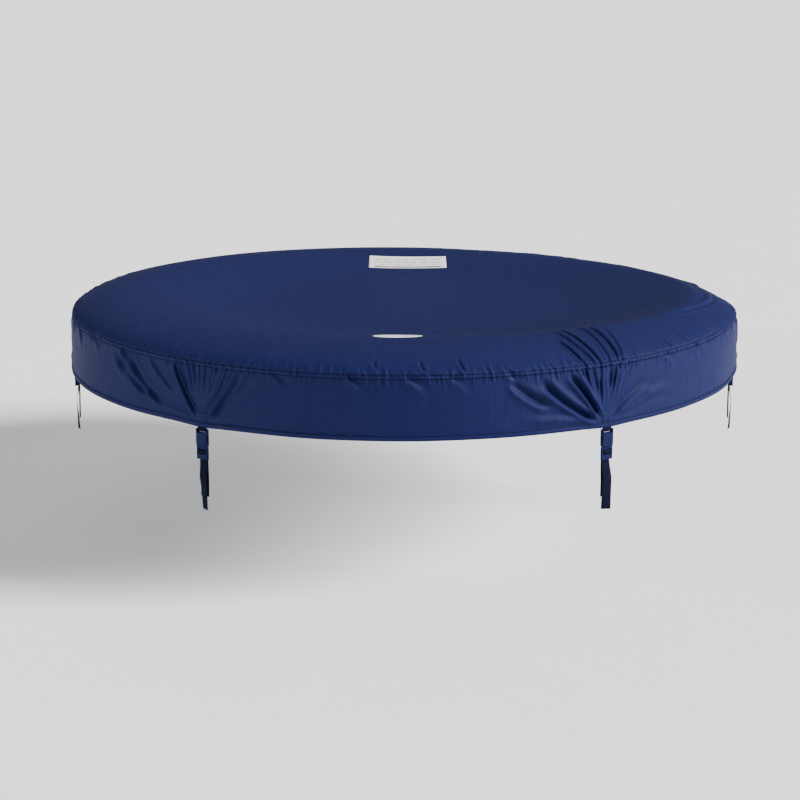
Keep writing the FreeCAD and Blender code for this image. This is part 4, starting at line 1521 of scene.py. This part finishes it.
# ---- straps -----------------------------------------------------------------------------------------
@dataclass
class Strap:
    """One strap's webbing pieces, drawn about its hinge line and turned to its place."""

    place: str
    azimuth: float
    materials: Materials
    rng: np.random.Generator
    width: float = 0.024
    thickness: float = 0.0013

    def placed(self, points: Array) -> Array:
        """Local points (across, outwards, up from the hinge line) in the cover's frame."""
        radius = SIZES.hem_radius + points[..., 1]
        c, s = math.cos(self.azimuth), math.sin(self.azimuth)
        x = points[..., 0] * c + radius * s
        y = points[..., 0] * s - radius * c
        return np.stack([x, y, points[..., 2] + HINGE_Z], axis=-1)

    def ribbon(self, name: str, route: Array, twist: Array, width: Array) -> bpy.types.Object:
        """A strip of webbing along a route of (outwards, up) points.

        The section is a flat lens that is turned about the route by a twist; the route is smoothed
        by a Catmull-Rom curve through its points.

        Args:
            name: object's name.
            route: n by 3 points across, outwards and up.
            twist: turn of the strip at each point, in radians.
            width: strip's width at each point.

        Returns:
            The strip's object.
        """
        knots = np.concatenate([route, twist[:, None], width[:, None]], axis=1)
        padded = np.concatenate([[2 * knots[0] - knots[1]], knots, [2 * knots[-1] - knots[-2]]])
        steps = np.linspace(0.0, 1.0, 7)[:-1]
        pieces = []
        for i in range(len(knots) - 1):
            a, b, c, d = padded[i : i + 4]
            t = steps[:, None]
            pieces.append(
                0.5 * (2 * b + (c - a) * t + (2 * a - 5 * b + 4 * c - d) * t**2)
                + 0.5 * (3 * b - a - 3 * c + d) * t**3
            )
        curve = np.concatenate([*pieces, knots[-1:]])
        line, turn, wide = curve[:, :3], curve[:, 3], curve[:, 4]
        ahead = np.gradient(line, axis=0)
        ahead /= np.linalg.norm(ahead, axis=1)[:, None]
        across = np.stack([np.cos(turn), np.sin(turn), 0.0 * turn], axis=1)
        across -= (across * ahead).sum(1)[:, None] * ahead
        across /= np.linalg.norm(across, axis=1)[:, None]
        normal = np.cross(ahead, across)
        share = np.linspace(-1.0, 1.0, 9)
        half = self.thickness / 2.0 * (1.0 - 0.75 * share**8)
        upper = line[:, None] + across[:, None] * (share * 0.5)[None, :, None] * wide[:, None, None]
        rise = normal[:, None] * half[None, :, None]
        length = np.concatenate([[0.0], np.cumsum(np.linalg.norm(np.diff(line, axis=0), axis=1))])
        u = np.broadcast_to(share[None, :] * self.width / 2.0, (len(line), 9))
        uv = np.stack([u, np.broadcast_to(length[:, None], u.shape)], axis=-1)
        outer, inner = self.placed(upper + rise), self.placed(upper - rise)
        return shell(name, outer, inner, False, uv, uv)

    def build_loop(self) -> None:
        """Hem loop: one strip that goes down in front of the socket's bar and up behind it."""
        gap = 0.0029
        out = np.array(
            [
                (0.0, 0.0008, 0.0030),
                (0.0, 0.0010, -0.0010),
                (0.0, gap, -0.0048),
                (0.0, gap + 0.0002, -0.0085),
                (0.0, 0.0016, -0.0104),
                (0.0, -0.0016, -0.0104),
                (0.0, -gap - 0.0002, -0.0085),
                (0.0, -gap, -0.0048),
                (0.0, -0.0010, -0.0010),
                (0.0, -0.0008, 0.0030),
            ]
        )
        obj = self.ribbon(f"{self.place}_hem_loop", out, np.zeros(len(out)), np.full(len(out), self.width))
        finish_piece(obj, self.materials.webbing, f"{self.place}_strap", "webbing", f"{self.place}_loop")

    def build_tail(self) -> None:
        """Adjusting webbing: an anchor strip behind, over the ladder bar, and a free tail."""
        node = f"{self.place}_webbing"
        bottom = low(node)[2] - HINGE_Z
        bar = low(f"{self.place}_plug")[2] - HINGE_Z + 0.0195
        drift = self.rng.uniform(-0.004, 0.004)
        route = np.array(
            [
                (0.0, -0.0052, bottom + 0.036),
                (0.0008, -0.0056, bottom + 0.070),
                (0.0, -0.0060, bar - 0.045),
                (0.0, -0.0058, bar - 0.010),
                (0.0, -0.0050, bar + 0.0030),
                (0.0, -0.0010, bar + 0.0052),
                (0.0, 0.0040, bar + 0.0036),
                (0.0, 0.0046, bar - 0.0012),
                (0.0, 0.0010, bar - 0.0058),
                (0.0, -0.0034, bar - 0.0085),
                (0.0, -0.0042, bar - 0.0200),
                (drift * 0.3, -0.0020, bar - 0.0380),
                (drift * 0.7, 0.0030, bar - 0.0650),
                (drift, 0.0010, bar - 0.0950),
                (drift * 1.2, -0.0010, bottom + 0.004),
            ]
        )
        twist = np.zeros(len(route))
        twist[-4:] = np.array([0.05, 0.15, 0.30, 0.42]) * math.copysign(1.0, drift)
        obj = self.ribbon(f"{self.place}_tail", route, twist, np.full(len(route), self.width))
        finish_piece(obj, self.materials.webbing, f"{self.place}_buckle_plug", "webbing", node)

    def build(self) -> None:
        """Make the webbing and dress the buckle's CAD pieces."""
        self.build_loop()
        self.build_tail()
        for piece in ("socket", "plug", "left_prong", "right_prong"):
            dress(f"{self.place}_{piece}", self.materials.buckle)


def dress(node: str, material: bpy.types.Material) -> None:
    """Give a CAD node a procedural material."""
    mesh = bpy.data.objects[node].data
    mesh.materials.clear()
    mesh.materials.append(material)


# ---- studio -----------------------------------------------------------------------------------------
@dataclass(frozen=True)
class Studio:
    """Pale floor, soft lights and the camera."""

    floor_z: float = -0.62
    distance: float = 5.398
    rise: float = 1.0354
    sideways: float = -0.011
    tilt: float = math.radians(13.96)
    lens: float = 90.0

    def floor(self) -> None:
        """A wide pale floor."""
        half = 120.0
        corners = np.array([(-half, -half), (half, -half), (half, half), (-half, half)])
        points = np.column_stack([corners, np.full(4, self.floor_z)])
        obj = new_object("studio_floor", points, [[0, 1, 2, 3]])
        f = Finish("pale_floor")
        grain = f.noise(f.place(), 3.0, 2.0)
        f.set(Base_Color=f.mix(grain, (0.90, 0.90, 0.90), (0.92, 0.92, 0.92)), Roughness=0.9)
        obj.data.materials.append(f.material)

    def sun(self, name: str, azimuth: float, height: float, spread: float, strength: float) -> None:
        """A broad distant light.

        Args:
            name: light's name.
            azimuth: angle round from the front towards +X that it shines from, in degrees.
            height: angle above the ground, in degrees.
            spread: angle that the light fills, in degrees.
            strength: its power per area.
        """
        data = bpy.data.lights.new(name, "SUN")
        data.angle = math.radians(spread)
        data.energy = strength
        obj = bpy.data.objects.new(name, data)
        bpy.context.scene.collection.objects.link(obj)
        obj.rotation_euler = (math.radians(90.0 - height), 0.0, math.radians(azimuth))

    def lights(self) -> None:
        """Key from the right, a low fill from the left, a weak overhead and a dim even surround."""
        self.sun("key", 78.0, 27.0, 20.0, 9.4)
        self.sun("left_fill", -70.0, 7.0, 45.0, 4.0)
        self.sun("overhead", 175.0, 70.0, 80.0, 0.8)
        world = bpy.data.worlds.new("even_surround")
        bpy.context.scene.world = world
        world.use_nodes = True
        surround = world.node_tree.nodes["Background"]
        surround.inputs[0].default_value = (1.0, 1.0, 1.0, 1.0)
        surround.inputs[1].default_value = 0.18

    def camera(self) -> None:
        """The camera, level and looking down a little from the front."""
        data = bpy.data.cameras.new("front_camera")
        data.lens = self.lens
        data.sensor_width = 36.0
        data.clip_end = 400.0
        obj = bpy.data.objects.new("front_camera", data)
        bpy.context.scene.collection.objects.link(obj)
        obj.location = (self.sideways, -self.distance, self.rise)
        obj.rotation_euler = (math.pi / 2.0 - self.tilt, 0.0, 0.0)
        bpy.context.scene.camera = obj

    def build(self) -> None:
        """Make the floor, the lights and the camera."""
        self.camera()
        self.floor()
        self.lights()


def main() -> None:
    """Build the cover and its studio in order."""
    logging.basicConfig(level=logging.INFO, format="%(name)s: %(message)s")
    materials = Materials()
    Studio().build()
    cloth = Cloth()
    form = TopForm(cloth)
    OuterShell(cloth, form, materials).build()
    TopLabels(form, materials).build()
    Underside(form, materials).build()
    PocketBase(materials).build()
    rng = np.random.default_rng(5)
    for place, azimuth in zip(PLACES, STRAP_AZIMUTHS):
        Strap(place, azimuth, materials, rng).build()
    plain = {
        "zip_stops": materials.zip_coil,
        "zip_slider": materials.zip_metal,
        "zip_pull": materials.zip_metal,
        "valve_base": materials.valve,
        "valve_cap": materials.valve,
    }
    for node, material in plain.items():
        dress(node, material)


if __name__ == "__main__":
    main()
